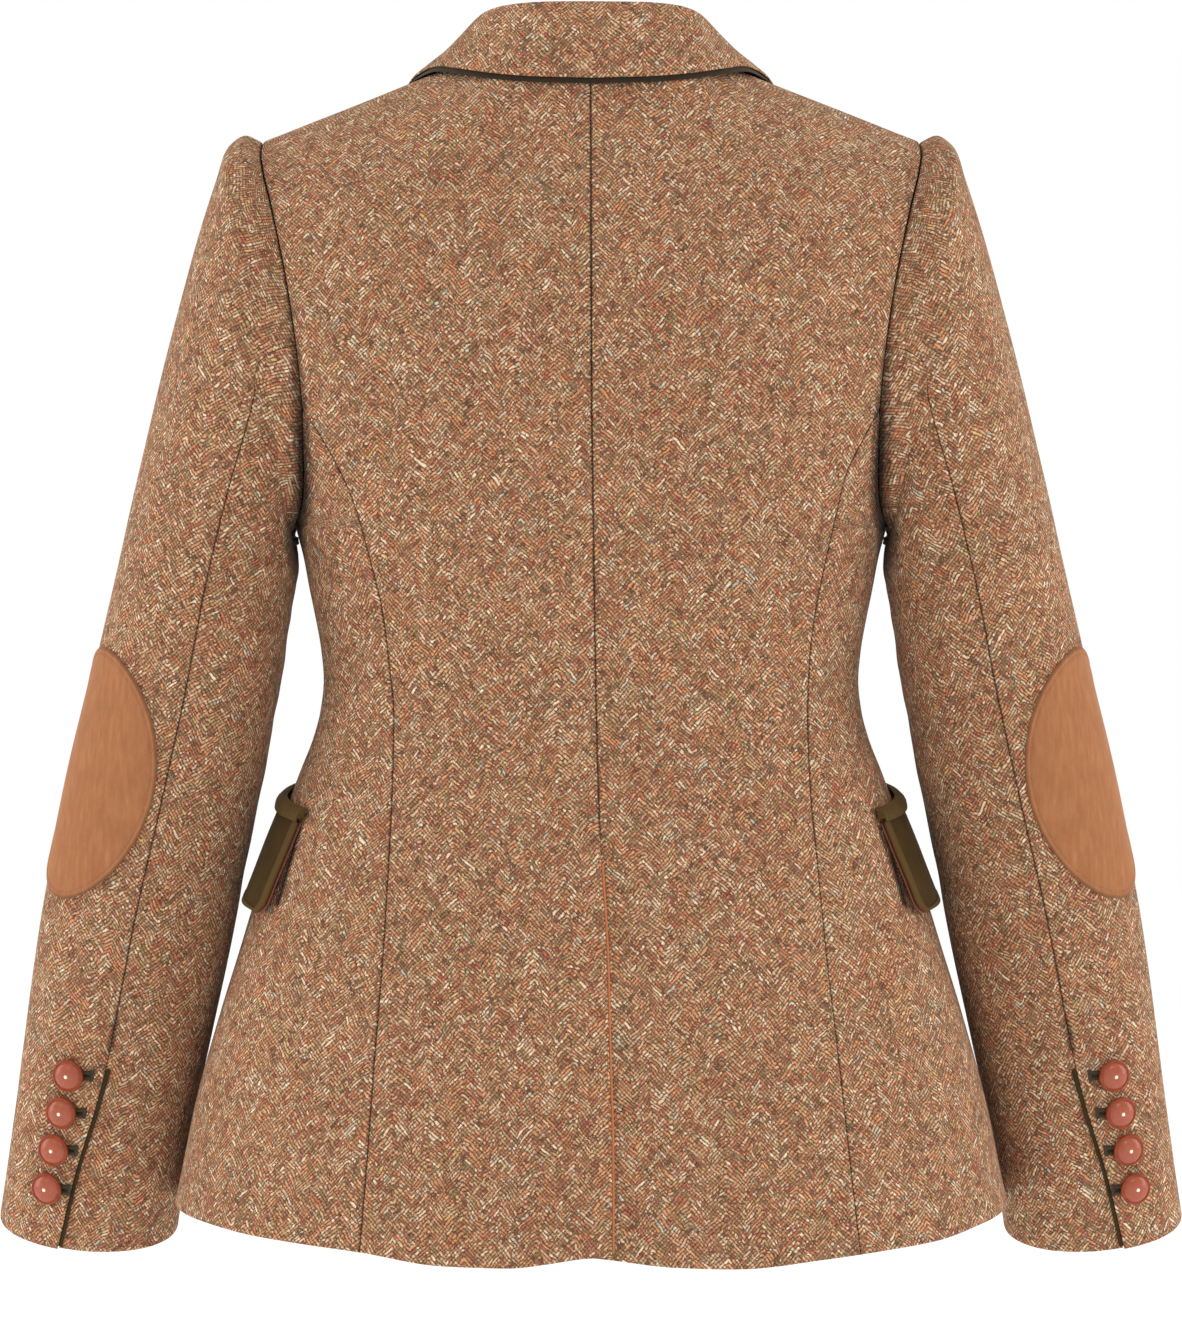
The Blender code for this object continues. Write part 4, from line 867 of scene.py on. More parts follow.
def suede(name="suede"):
    s = Shade(name)
    u, v, uv = s.cloth()
    nap = s.noise(uv, 0.9, 4.0, 0.7)
    brushed = s.noise(s.xyz(s.m("MULTIPLY", u, 0.35), s.m("MULTIPLY", v, 0.06)), 1.0, 3.0, 0.6)
    patchy = s.noise(uv, 0.05, 3.0, 0.6)
    pore = s.noise(uv, 3.2, 2.0, 0.6)
    colour = s.ramp(brushed, ((0.25, (0.305, 0.115, 0.047)), (0.5, (0.335, 0.137, 0.058)), (0.75, (0.39, 0.167, 0.077))))
    level = s.m("MULTIPLY", s.range(nap, 0.3, 0.7, 0.93, 1.07), s.range(patchy, 0.3, 0.7, 0.93, 1.06))
    level = s.m("MULTIPLY", level, s.range(pore, 0.25, 0.5, 0.90, 1.0))
    # painted shade: darker within a few millimetres of the patch's turned edge
    level = s.m("MULTIPLY", level, s.range(s.near(), 0.3, 2.4, 0.62, 1.0, smooth=True))
    colour = s.blend(1.0, colour, s.xyz(level, level, level), "MULTIPLY")
    bump = s.bump(s.m("ADD", s.m("MULTIPLY", nap, 0.6), s.m("MULTIPLY", pore, 0.4)), 0.00025, 0.6)
    return s.finish(colour, s.range(nap, 0.3, 0.7, 0.84, 0.95), bump,
                    sheen=0.25, sheen_rough=0.35, sheen_tint=(1.0, 0.66, 0.42), specular=0.15)


def pile(name, dark, light, rim=None, sheen=0.12, grain=1.1):
    """Short-pile cotton such as moleskin, with a faint diagonal rib."""
    s = Shade(name)
    u, v, uv = s.cloth()
    nap = s.noise(uv, grain, 3.0, 0.65)
    wear = s.noise(uv, 0.07, 3.0, 0.6)
    rib = s.m("SINE", s.m("MULTIPLY", s.m("ADD", u, s.m("MULTIPLY", v, 1.7)), 7.0))
    colour = s.blend(s.range(s.m("ADD", s.m("MULTIPLY", nap, 0.6), s.m("MULTIPLY", wear, 0.4)), 0.35, 0.65), dark, light)
    if rim is not None:
        edge = s.range(s.near(), 5.0, 5.8, 1.0, 0.0, smooth=True)
        colour = s.blend(edge, colour, rim)
        line = s.m("MULTIPLY", s.range(s.near(), 4.8, 5.4, 0.0, 1.0, smooth=True), s.range(s.near(), 5.6, 6.3, 1.0, 0.0, smooth=True))
        level = s.range(line, 0.0, 1.0, 1.0, 0.55)
        colour = s.blend(1.0, colour, s.xyz(level, level, level), "MULTIPLY")
    level = s.range(nap, 0.3, 0.7, 0.86, 1.14)
    colour = s.blend(1.0, colour, s.xyz(level, level, level), "MULTIPLY")
    bump = s.bump(s.m("ADD", nap, s.m("MULTIPLY", rib, 0.10)), 0.0002, 0.6)
    return s.finish(colour, s.range(nap, 0.3, 0.7, 0.80, 0.93), bump,
                    sheen=sheen, sheen_rough=0.3, sheen_tint=(1.0, 0.80, 0.5), specular=0.10)


def felt(name, dark, light):
    s = Shade(name)
    place = s.place()
    fibre = s.noise(place, 1400.0, 4.0, 0.7)
    slow = s.noise(place, 120.0, 3.0, 0.6)
    colour = s.blend(s.range(fibre, 0.3, 0.7), dark, light)
    level = s.range(slow, 0.3, 0.7, 0.88, 1.12)
    colour = s.blend(1.0, colour, s.xyz(level, level, level), "MULTIPLY")
    return s.finish(colour, s.range(fibre, 0.3, 0.7, 0.88, 0.98), s.bump(fibre, 0.0003, 0.7),
                    sheen=0.15, sheen_rough=0.5, sheen_tint=(1.0, 0.9, 0.7), specular=0.2)


def woven(name, dark, light, pitch=0.45, gloss=0.55, sheen=0.1):
    """Plain-woven lining or facing cloth."""
    s = Shade(name)
    u, v, uv = s.cloth()
    a = s.m("SINE", s.m("MULTIPLY", u, 3.1416 / pitch))
    b = s.m("SINE", s.m("MULTIPLY", v, 3.1416 / pitch))
    weave = s.m("MULTIPLY", s.m("ADD", s.m("MULTIPLY", a, b), 1.0), 0.5)
    slow = s.noise(uv, 0.3, 3.0, 0.6)
    colour = s.blend(s.m("ADD", s.m("MULTIPLY", weave, 0.5), s.m("MULTIPLY", slow, 0.5)), dark, light)
    return s.finish(colour, s.range(weave, 0.0, 1.0, gloss + 0.15, gloss), s.bump(weave, 0.00012, 0.6),
                    sheen=sheen, sheen_rough=0.4, specular=0.4)


def thread(name, dark, light, pitch=0.55):
    """Twisted sewing thread: stripes of twist along each stitch."""
    s = Shade(name)
    u, v, uv = s.cloth()
    twist = s.m("SINE", s.m("MULTIPLY", s.m("ADD", u, s.m("MULTIPLY", v, 0.6)), 6.2832 / pitch))
    fine = s.noise(s.place(), 2600.0, 3.0, 0.6)
    t = s.m("MULTIPLY", s.m("ADD", twist, 1.0), 0.5)
    colour = s.blend(s.m("ADD", s.m("MULTIPLY", t, 0.6), s.m("MULTIPLY", fine, 0.4)), dark, light)
    return s.finish(colour, s.range(fine, 0.3, 0.7, 0.6, 0.8), s.bump(t, 0.00022, 0.8),
                    sheen=0.1, sheen_rough=0.4, specular=0.35)


def moulded(name, colour, light, rough, coat, scale=260.0, swirl=0.5, sheen=0.0, specular=0.25):
    """Button stuff: a slightly marbled, moulded finish."""
    s = Shade(name)
    place = s.place()
    marble = s.noise(place, scale, 4.0, 0.65)
    fine = s.noise(place, 2200.0, 3.0, 0.6)
    mixed = s.blend(s.range(marble, 0.35, 0.65, 0.0, swirl), colour, light)
    level = s.range(fine, 0.3, 0.7, 0.92, 1.08)
    mixed = s.blend(1.0, mixed, s.xyz(level, level, level), "MULTIPLY")
    return s.finish(mixed, s.range(fine, 0.3, 0.7, rough, rough + 0.12), s.bump(s.m("ADD", fine, marble), 0.00008, 0.5),
                    specular=specular, coat=coat, coat_rough=0.14, sheen=sheen)


# the studio's light, in one place
AMBIENT = 0.81
FLOOR_GLOW = 0.32
LIGHTS = (
    ("key", (-0.95, 2.8, 1.0), (0.0, 0.0, -0.35), (0.55, 0.5), 6.0),
    ("spark_left", (1.84, 2.41, 0.38), (0.3, 0.0, -0.6), (0.22, 0.22), 4.0),
    ("spark_right", (-1.3, 2.7, 0.6), (-0.3, 0.0, -0.6), (0.22, 0.22), 4.0),
    ("left", (2.9, 0.45, 0.1), (0.25, 0.0, -0.35), (1.2, 2.4), 32.0),
    ("right", (-2.9, 0.45, 0.1), (-0.25, 0.0, -0.35), (1.2, 2.4), 32.0),
    ("top", (0.0, 0.6, 2.8), (0.0, 0.0, -0.2), (2.2, 1.6), 15.0),
)

TWEED = tweed()
# painted shade: the cloth's inner faces, seen in the gaps at seams and edges, are the tweed darkened to 0.62
SHADED_INSIDE = tweed("tweed_inside_shaded", 0.62)
SUEDE_MAT = suede()
MOLESKIN = pile("moleskin", (0.040, 0.022, 0.0062), (0.068, 0.038, 0.0115), rim=(0.092, 0.053, 0.017))
WELT = pile("moleskin_welt", (0.070, 0.040, 0.0115), (0.108, 0.064, 0.020))
LINING = woven("flap_lining", (0.15, 0.036, 0.020), (0.25, 0.066, 0.036))
FACING = woven("vent_facing", (0.34, 0.095, 0.03), (0.50, 0.16, 0.055), gloss=0.6)
DARK_EDGE = pile("cuff_facing", (0.030, 0.019, 0.008), (0.052, 0.034, 0.015), sheen=0.15)
FELT = felt("under_collar", (0.012, 0.007, 0.004), (0.040, 0.026, 0.014))
PURL = thread("buttonhole_thread", (0.022, 0.014, 0.006), (0.075, 0.052, 0.024))
PATCH_THREAD = thread("patch_thread", (0.30, 0.11, 0.05), (0.52, 0.24, 0.12))
RIM = moulded("button_rim", (0.20, 0.030, 0.008), (0.34, 0.060, 0.016), 0.26, 0.0, swirl=0.7)
DOME = moulded("button_dome", (0.30, 0.064, 0.028), (0.37, 0.092, 0.042), 0.15, 0.0, specular=0.45)
PIN = moulded("button_pin", (0.80, 0.70, 0.60), (0.90, 0.82, 0.74), 0.3, 0.0)


# ---------------------------------------------------------------------------
# The body
# ---------------------------------------------------------------------------

LOW = -600.0          # below this the rows gather towards the hem


def levels(top, rows, low_rows):
    """Heights from the hem up: pairs of (share of the hem, height)."""
    out = []
    rise = 60.0
    for d in spaced(rise, low_rows, (True, False)):
        out.append((1.0 - d / rise, LOW))
    for z in np.linspace(LOW, top, rows)[1:]:
        out.append((0.0, z))
    return out


def body_rows(a_at, b_at, lv, cols, ends, lift=None, inset=(GAP, GAP)):
    """Rows of the body's surface between two ring angles given by height."""
    pts, nrm, ang = [], [], []
    for share, z0 in lv:
        zz = z0 if share == 0 else z0 + (-660.0 - z0) * share
        a, b = a_at(zz), b_at(zz)
        th = np.linspace(a, b, 90)
        z = np.full(90, z0) + (hem(th) - z0) * share
        p = body(th, z)
        length = np.concatenate([[0], np.cumsum(np.linalg.norm(np.diff(p, axis=0), axis=1))])
        i0, i1 = inset(zz) if callable(inset) else inset
        at = i0 + spaced(length[-1] - i0 - i1, cols, ends)
        th, z = np.interp(at, length, th), np.interp(at, length, z)
        pts.append(body(th, z))
        nrm.append(body_normal(th, z))
        ang.append(th)
    return np.array(pts), np.array(nrm), np.array(ang)


def patch_rows(left, right, bottom, top, ws, cols, ends, front=None, inset=(GAP, GAP)):
    """Rows of the upper body between four sides, each (angle, height)."""
    s = np.linspace(0, 1, 200)
    bot = np.array([bottom(v) for v in s], float)
    up = np.array([top(v) for v in s], float)
    pts, nrm = [], []
    for w in ws:
        l, r = np.array(left(w), float), np.array(right(w), float)
        both = []
        for k in (0, 1):
            corners = ((1 - s) * (1 - w) * bot[0, k] + s * (1 - w) * bot[-1, k]
                       + (1 - s) * w * up[0, k] + s * w * up[-1, k])
            both.append((1 - w) * bot[:, k] + w * up[:, k] + (1 - s) * l[k] + s * r[k] - corners)
        th, z = both
        p = body(th, z) if front is None else front_body(front, th, z)[0]
        length = np.concatenate([[0], np.cumsum(np.linalg.norm(np.diff(p, axis=0), axis=1))])
        at = inset[0] + spaced(length[-1] - inset[0] - inset[1], cols, ends)
        th, z = np.interp(at, length, th), np.interp(at, length, z)
        if w >= 1.0:
            th, z = to_ridge(th, z, front is not None)
        if front is None:
            p, n = body(th, z), body_normal(th, z)
        else:
            p, n = front_body(front, th, z)
        if w >= 1.0:
            p = p + np.array([0, 0.36 if front is None else -0.36, 0])
        pts.append(p)
        nrm.append(n)
    return np.array(pts), np.array(nrm)


def grain(p, ref, offset=0.0, run=None):
    """The cloth's own coordinates: across from a reference column, and along."""
    flat = p * np.array([1.0, 1.0, 0.0])
    across = along(flat, 1)
    if np.isscalar(ref) and float(ref).is_integer():
        base = across[:, int(ref)][:, None]
    else:
        base = across[:, -1:] * ref
    up = along(p, 0)
    mid = p.shape[1] // 2
    level = up[:, mid:mid + 1] + (p[..., 2] - p[:, mid:mid + 1, 2])
    if run is not None:
        level = level.copy()
        level[run:] = level[run] + (up[run:] - up[run])
    return np.stack([across - base + offset, level], -1)


def weld(*grids):
    return [np.concatenate(g, axis=0) for g in zip(*grids)]


def make_back(side):
    cols = 44
    col = 1 if side > 0 else 2
    lv = levels(TIP, 84, 20)

    def a_at(z):
        return float(theta(curve(CENTRE, 1, z), z))

    def b_at(z):
        return side * abs(float(theta(curve(CURVED, col, z), z)))

    def inset(z):
        return (0.0 if side > 0 and z < VENT_TOP - 1 else GAP, GAP)

    p, n, th = body_rows(a_at, b_at, lv, cols, (True, True), inset=inset)

    def left(w):
        z = TIP + (-8.0 - TIP) * w
        return float(theta(curve(CENTRE, 1, z), z)), z

    def right(w):
        z = TIP + (-43.0 - TIP) * w
        return side * abs(float(theta(curve(ARMHOLE, 1, z), z))), z

    def bottom(s):
        a, b = left(0)[0], right(0)[0]
        return a + (b - a) * s, TIP

    def top(s):
        x = SHOULDER_X * s
        z = -8.0 + (float(ridge_z(NECK_X)) + 8.0) * (x / NECK_X) ** 2.2 if x < NECK_X else float(ridge_z(x))
        return side * abs(float(theta(x, z))), z

    k = 46
    ws = [1 - (1 - i / k) ** 2.0 for i in range(1, k + 1)]
    p2, n2 = patch_rows(left, right, bottom, top, ws, cols, (True, True))
    run = len(p)
    p, n = weld((p, n), (p2, n2))
    uv = grain(p, 0, 3.1 if side > 0 else 0.4, run)
    d = edge_distances(p)
    # the centre seam ends at the vent, where the left edge is turned and laps over
    z = p[..., 2]
    seam = groove(d[0]) * ease((z - VENT_TOP) / 16.0 + 0.3)
    edge = folded(d[0], 0.75, 1.6) * ease((VENT_TOP - z) / 8.0)
    hemmed = folded(d[2])
    x, centre = p[..., 0], curve(CENTRE, 1, z)
    down = ease((VENT_TOP + 12 - z) / 14.0)
    if side > 0:
        lap = 1.25 * down * ease((centre + 36 - x) / 28.0)
        corner = 4.5 * ease((10.0 - np.hypot(d[0], d[2] * 0.9)) / 10.0)
    else:
        lap = -down * (1.25 * ease((x - (centre - 15)) / 13.0) + 1.35 * np.clip((x - centre) / 10.0, 0, 1))
        corner = 0.0
    lift = lap + seam + groove(d[1]) + groove(d[3]) + 0.25 * waver(x, z, 3 + side, 140.0)
    if side > 0:
        lift = lift - edge
        thick = CLOTH - 2 * edge - 2 * hemmed
    else:
        thick = CLOTH - 2 * hemmed + 0 * edge
    lift = lift - hemmed
    beside = d[0] + 1.2
    if side < 0:
        # the under lap lies in the shade of the edge above it
        deep = ease((VENT_TOP - 4 - z) / 45.0) * (1 - 0.7 * ease((-600.0 - z) / 55.0))
        beside = np.maximum(d[0] - 1.3, 0.0) * 0.5 - 0.8 * deep + (1 - deep) * 0.9
    near = np.minimum(np.minimum(d[1], d[3]), np.where(z > VENT_TOP, d[0], beside))
    near = np.minimum(near, d[2] + 1.2)
    p = p + n * lift[..., None]
    p[..., 2] += corner * 0.35
    name = "back_left_cloth" if side > 0 else "back_right_cloth"
    above = 0.55 * (z[:, 0] > VENT_TOP - 2)
    if side > 0:
        cloth(name, p, n, thick, uv, TWEED, near, inner_mat=SHADED_INSIDE, tuck={"left": above, "right": 0.55 + 0 * above, "last": 0.5})
        return
    # the right back runs on under the left one below the top of the vent
    m = sum(1 for share, z0 in lv if share > 0 or z0 <= VENT_TOP - 4)
    ext_p, ext_n, ext_uv = [], [], []
    for r in range(p.shape[0]):
        row_z = p[r, 0, 2]
        if r < m:
            share, z0 = lv[r]
            zz = z0 if share == 0 else z0 + (-660.0 - z0) * share
            xs = float(curve(CENTRE, 1, zz)) + UNDERLAP * np.array([1.0, 0.97, 0.9, 0.75, 0.6, 0.45, 0.3, 0.15])
            the = theta(xs, np.full(8, zz))
            ze = np.full(8, z0) + (hem(the) - z0) * share
            q, qn = body(the, ze), body_normal(the, ze)
            ce = curve(CENTRE, 1, ze)
            dn = ease((VENT_TOP + 12 - ze) / 14.0)
            lf = -dn * (1.25 * ease((q[:, 0] - (ce - 15)) / 13.0) + 1.35 * np.clip((q[:, 0] - ce) / 10.0, 0, 1)) - hemmed[r, 0]
            ext_p.append(q + qn * lf[:, None])
            ext_n.append(qn)
        else:
            ext_p.append(np.repeat(p[r, :1], 8, 0))
            ext_n.append(np.repeat(n[r, :1], 8, 0))
        ext_uv.append(np.stack([uv[r, 0, 0] - UNDERLAP * np.array([1.0, 0.97, 0.9, 0.75, 0.6, 0.45, 0.3, 0.15]), np.full(8, uv[r, 0, 1])], -1))
    p = np.concatenate([np.array(ext_p), p], 1)
    n = np.concatenate([np.array(ext_n), n], 1)
    uv = np.concatenate([np.array(ext_uv), uv], 1)
    thick = np.concatenate([np.repeat(thick[:, :1], 8, 1), thick], 1)
    near = np.concatenate([np.full((len(p), 8), 30.0), np.where(np.arange(len(p))[:, None] < m, np.maximum(near, 2.0), near)], 1)
    keep = np.ones((p.shape[0] - 1, p.shape[1] - 1), bool)
    keep[m - 1:, :8] = False
    above = 0.55 * (np.arange(len(p)) > m + 1)
    cloth(name, p, n, thick, uv, TWEED, near, keep=keep, inner_mat=SHADED_INSIDE, tuck={8: above, "right": 0.55 + 0 * above, "last": 0.5})


def make_side_back(side):
    cols = 34
    col = 1 if side > 0 else 2
    lv = levels(-203.0, 84, 20)

    def a_at(z):
        return side * abs(float(theta(curve(CURVED, col, z), z)))

    def b_at(z):
        b = math.pi / 2
        if z > UNDERARM:
            b = abs(float(theta(curve(ARMHOLE, 1, z), z)))
        return side * b

    p, n, th = body_rows(a_at, b_at, lv, cols, (True, True))
    uv = grain(p, 0.5, 1.7 * side)
    p, thick, near = dressed(p, n, "seam", "seam", "fold", None, seed=7 + side)
    # the deep shade in the gap under the flap's back edge
    bs = np.linspace(3.0, FLAP_TALL - 8.0, 40)
    edge, _ = pocket_grid([[(-6.0 * b / FLAP_TALL, b, 0.0), (8.0 - 6.0 * b / FLAP_TALL, b, 0.0)] for b in bs])
    for b, q in zip(bs, edge[:, 0] * np.array([float(side), 1.0, 1.0])):
        share = b / FLAP_TALL
        far = np.linalg.norm(p - q, axis=-1)
        near = np.minimum(near, -1.0 + np.maximum(far - (0.8 + 2.2 * share), 0.0) * 0.9)
    cloth("side_back_left_cloth" if side > 0 else "side_back_right_cloth", p, n, thick, uv, TWEED, near, inner_mat=SHADED_INSIDE,
          tuck={"left": 0.5, "right": 0.5, "last": 5.0})


def make_front(side):
    cols = 46
    lv = levels(UNDERARM, 74, 20)
    pts, nrm = [], []
    for share, z0 in lv:
        zz = z0 if share == 0 else z0 + (-655.0 - z0) * share
        a = side * math.pi / 2
        b = front_theta(side, front_edge(side, zz), zz)
        th = np.linspace(a, b, 90)
        z = np.full(90, z0) + (hem(th) - z0) * share
        q, _ = front_body(side, th, z)
        length = np.concatenate([[0], np.cumsum(np.linalg.norm(np.diff(q, axis=0), axis=1))])
        at = GAP + spaced(length[-1] - GAP, cols, (True, True))
        q, m = front_body(side, np.interp(at, length, th), np.interp(at, length, z))
        pts.append(q)
        nrm.append(m)
    p, n = np.array(pts), np.array(nrm)

    def left(w):
        z = UNDERARM + (-43.0 - UNDERARM) * w
        return side * float(theta(curve(ARMHOLE, 2, z), z, True)), z

    def right(w):
        z = UNDERARM + (float(ridge_z(NECK_X + 0.3)) - UNDERARM) * w
        return front_theta(side, front_edge(side, z), z), z

    def bottom(s):
        a, b = left(0)[0], right(0)[0]
        return a + (b - a) * s, UNDERARM

    def top(s):
        x = SHOULDER_X + (NECK_X + 0.3 - SHOULDER_X) * s
        z = float(ridge_z(max(x, NECK_X)))
        return side * float(theta(x, z, True)), z

    k = 56
    ws = [1 - (1 - i / k) ** 1.9 for i in range(1, k + 1)]
    p2, n2 = patch_rows(left, right, bottom, top, ws, cols, (True, True), front=side, inset=(GAP, 0.0))
    run = len(p)
    p, n = weld((p, n), (p2, n2))
    uv = grain(p, 1.0 - 1e-6, 2.2 * side, run)
    p, thick, near = dressed(p, n, "seam", "fold", "fold", "seam", seed=11 + side,
                             more=front_lift(side, p[..., 0], p[..., 2]))
    cloth("front_left_cloth" if side > 0 else "front_right_cloth", p, n, thick, uv, TWEED, near, inner_mat=SHADED_INSIDE,
          tuck={"left": 0.5, "last": 0.5})


# ---------------------------------------------------------------------------
# The sleeves
# ---------------------------------------------------------------------------


def sleeve_wave(p, v, ph):
    """Soft drags round the elbow and under the arm."""
    out = 0.35 * waver(p[..., 0] * 1.2, p[..., 2], 23, 120.0)
    for at, angle, reach, deep, tilt in (
        (318, 150, 10, 0.9, 0.34), (352, 165, 9, -0.7, 0.30), (388, 158, 12, 0.8, 0.22),
        (236, 140, 13, -0.7, 0.5), (280, 160, 11, 0.6, 0.4), (448, 172, 12, -0.6, 0.2),
    ):
        a = np.degrees(np.mod(ph, 2 * math.pi)) - angle
        line = v - at + tilt * a
        out = out + deep * np.exp(-((line / reach) ** 2)) * np.exp(-((a / 46.0) ** 2))
    return out


def make_sleeve(side, upper):
    cols = 72 if upper else 54
    vs = np.concatenate([STEPS, np.arange(7.8, 44.0, 1.8), np.linspace(46.0, 641.8, 116)[:-1], 648.0 - np.array(STEPS[::-1])])
    pts, nrm, angs = [], [], []
    for v in vs:
        back, front = hind_seam(v), math.radians(SEAM_FRONT)
        a, b = (front, back) if upper else (back, front + 2 * math.pi)
        ph = np.linspace(a, b, 160)
        p = sleeve(np.full(160, float(v)), ph)
        length = np.concatenate([[0], np.cumsum(np.linalg.norm(np.diff(p, axis=0), axis=1))])
        gap = GAP + 0.12 * float(ease(1 - (v - 38.0) / 30.0))
        at = gap + spaced(length[-1] - 2 * gap, cols)
        ph = np.interp(at, length, ph)
        pts.append(sleeve(np.full(cols, float(v)), ph))
        nrm.append(sleeve_normal(np.full(cols, float(v)), ph))
        angs.append(ph)
    p, n, ph = np.array(pts), np.array(nrm), np.array(angs)
    v = np.repeat(vs[:, None], cols, 1)
    # across the cloth: the angle about the sleeve's own centre line times its
    # radius; along the cloth: the distance down that line
    axis = unit(np.array([[150.0, -34.0, -600.0]]))[0]
    outward = unit(np.array([[axis[2], 0.0, -axis[0]]]))[0] * -1.0
    backward = np.cross(axis, outward)
    backward = backward * (1.0 if backward[1] > 0 else -1.0)
    level = p @ axis
    cv = np.linspace(30, 648, 120)
    centre = np.stack([(curve(SLEEVE, 1, cv) + curve(SLEEVE, 3, cv)) / 2, curve(SLEEVE, 5, cv),
                       (curve(SLEEVE, 2, cv) + curve(SLEEVE, 4, cv)) / 2], -1)
    cl = centre @ axis
    mid = np.stack([np.interp(level, cl, centre[:, c]) for c in range(3)], -1)
    mid = mid + np.minimum(level - cl[0], 0.0)[..., None] * unit(centre[10:11] - centre[:1])[0]
    rel = p - mid
    turn = np.arctan2(rel @ backward, rel @ outward)
    if not upper:
        turn = np.mod(turn, 2 * math.pi)
    radius = np.interp(level, (cl[0], cl[-1]), (64.0, 47.0))
    uv = np.stack([(turn - (0.0 if upper else 3.0)) * radius + (0.9 if upper else 4.2), level], -1)
    # over the head the cloth is measured along its own surface
    near_row = int(np.searchsorted(vs, 46.0))
    stride = np.linalg.norm(np.diff(p[:near_row + 1], axis=0), axis=-1)
    rise = np.maximum(np.diff(level[:near_row + 1], axis=0), 0.85 * stride)
    uv[:near_row, :, 1] = level[near_row] - np.cumsum(rise[::-1], axis=0)[::-1]
    d = edge_distances(p)
    hind, fore = (d[1], d[0]) if upper else (d[0], d[1])
    shut = 1 - ease((v - CUFF_VENT + 4.0) / 10.0)
    angle = np.array([hind_seam(x) for x in vs])[:, None]
    close = ease(1 - np.abs(ph - angle) * 48.0 / 17.0) * ease((v - CUFF_VENT) / 14.0)
    lift = (0.9 if upper else -1.3) * close
    turned = folded(hind, 0.7, 1.5) * (1 - shut) if upper else 0.0 * hind
    hem_fold = folded(d[3])
    # the sleeve's head stands up a little from the armhole seam
    head = 1.1 * np.exp(-(((v - 9.0) / 6.0) ** 2)) * ease((np.cos(ph) + 0.35) / 1.2)
    fade = ease((v - 30.0) / 16.0)
    lift = lift + groove(hind) * shut * fade + groove(fore) + groove(d[2], 0.55, 0.7, 0.0) + head
    lift = lift + sleeve_wave(p, v, ph) * ease(v / 30.0) * ease((640 - v) / 60.0)
    # painted shade: just above the top of the cuff's vent the hind seam is darkened deeply; over the head its darkening
    # is lighter
    slit = np.where(v > CUFF_VENT - 20, hind * 0.5 - 0.5, hind + 1.5 * (1 - fade))
    near = np.minimum(np.minimum(np.where(shut > 0.5, slit, hind + 1.2), fore), np.minimum(d[2] * 0.8, d[3] + 1.2))
    thick = CLOTH - 2 * turned - 2 * hem_fold
    p = p + n * (lift - turned - hem_fold)[..., None]
    p[..., 0] -= 0.65 * (1 - ease(v / 7.0))
    closed = 0.5 * (vs < CUFF_VENT - 2)
    tuck = {"right": closed, "left": 0.5 + 0 * closed} if upper else {"left": closed, "right": 0.5 + 0 * closed}
    tuck["first"] = 1.3
    name = ("sleeve_upper_" if upper else "sleeve_under_") + ("left" if side > 0 else "right") + "_cloth"
    cloth(name, p, n, thick, uv * np.array([float(side), 1.0]), TWEED, near, side=side, inner_mat=SHADED_INSIDE, tuck=tuck)


# ---------------------------------------------------------------------------
# Collar and lapels
# ---------------------------------------------------------------------------


def collar_grid(qs, ss):
    grid = np.array([collar_point(ss, q) for q in qs])
    dq = np.array([collar_point(ss, min(q + 0.04, 4)) - collar_point(ss, max(q - 0.04, 0)) for q in qs])
    ds = np.array([collar_point(ss + 0.004, q) - collar_point(ss - 0.004, q) for q in qs])
    n = unit(np.cross(ds, dq))
    half = collar_point(ss, 0.5)
    hn = unit(np.cross(collar_point(ss + 0.004, 0.5) - collar_point(ss - 0.004, 0.5),
                       collar_point(ss, 0.54) - collar_point(ss, 0.46)))
    sign = np.sign((hn * (half - np.array([0.0, 0.0, -30.0])) * [1, 1, 0.2]).sum(-1))
    return grid, n * sign[None, :, None]


def make_collar():
    ss = np.concatenate([np.linspace(-1, -0.96, 7)[:-1], np.linspace(-0.96, 0.96, 190), np.linspace(0.96, 1, 7)[1:]])
    qs = np.concatenate([[0, 0.012, 0.028, 0.05, 0.08, 0.12], np.linspace(0.17, 3.9, 62)])
    grid, n = collar_grid(qs, ss)
    d = edge_distances(grid)
    free = np.minimum(np.minimum(d[0], d[1]), d[2])
    drop = folded(free, 0.6, 1.5)
    line = -0.22 * np.exp(-(((d[2] - 6.0) / 0.6) ** 2))
    soft = 0.25 * waver(grid[..., 0], grid[..., 2] + grid[..., 1], 31, 70.0)
    up = along(grid, 0)
    mid = len(ss) // 2
    across = along(grid, 1)
    uv = np.stack([across - across[:, mid:mid + 1] + 5.0, -up], -1)
    near = np.minimum(free + 1.2, 60.0)
    cloth("collar_cloth", grid + n * (soft + line - drop)[..., None], n, 1.6 - 2 * drop, uv, TWEED, near, inner_mat=FELT)
    qs = np.concatenate([[0, 0.02, 0.05, 0.1], np.linspace(0.17, 1.6, 26)])
    grid, n = collar_grid(qs, ss)
    d0 = edge_distances(grid)[2]
    soft = 0.25 * waver(grid[..., 0], grid[..., 2] + grid[..., 1], 31, 70.0)
    under = grid + n * (soft - 2.0)[..., None]
    # the felt shows past the tweed as a narrow edge
    out = unit(under[0] - under[4])
    reach = 2.8 * np.clip(1 - np.abs(ss) ** 6, 0.35, 1)
    for r in range(4):
        under[r] = under[r] + out * (reach * (1 - r / 4.0))[:, None]
    d = edge_distances(under)
    drop = folded(np.minimum(np.minimum(d[0], d[1]), d[2]), 0.4, 0.9)
    across = along(under, 1)
    uv = np.stack([across, along(under, 0)], -1)
    cloth("collar_felt", under - n * drop[..., None], n, 1.1 - 2 * drop, uv, FELT, d[2] + 3.0)


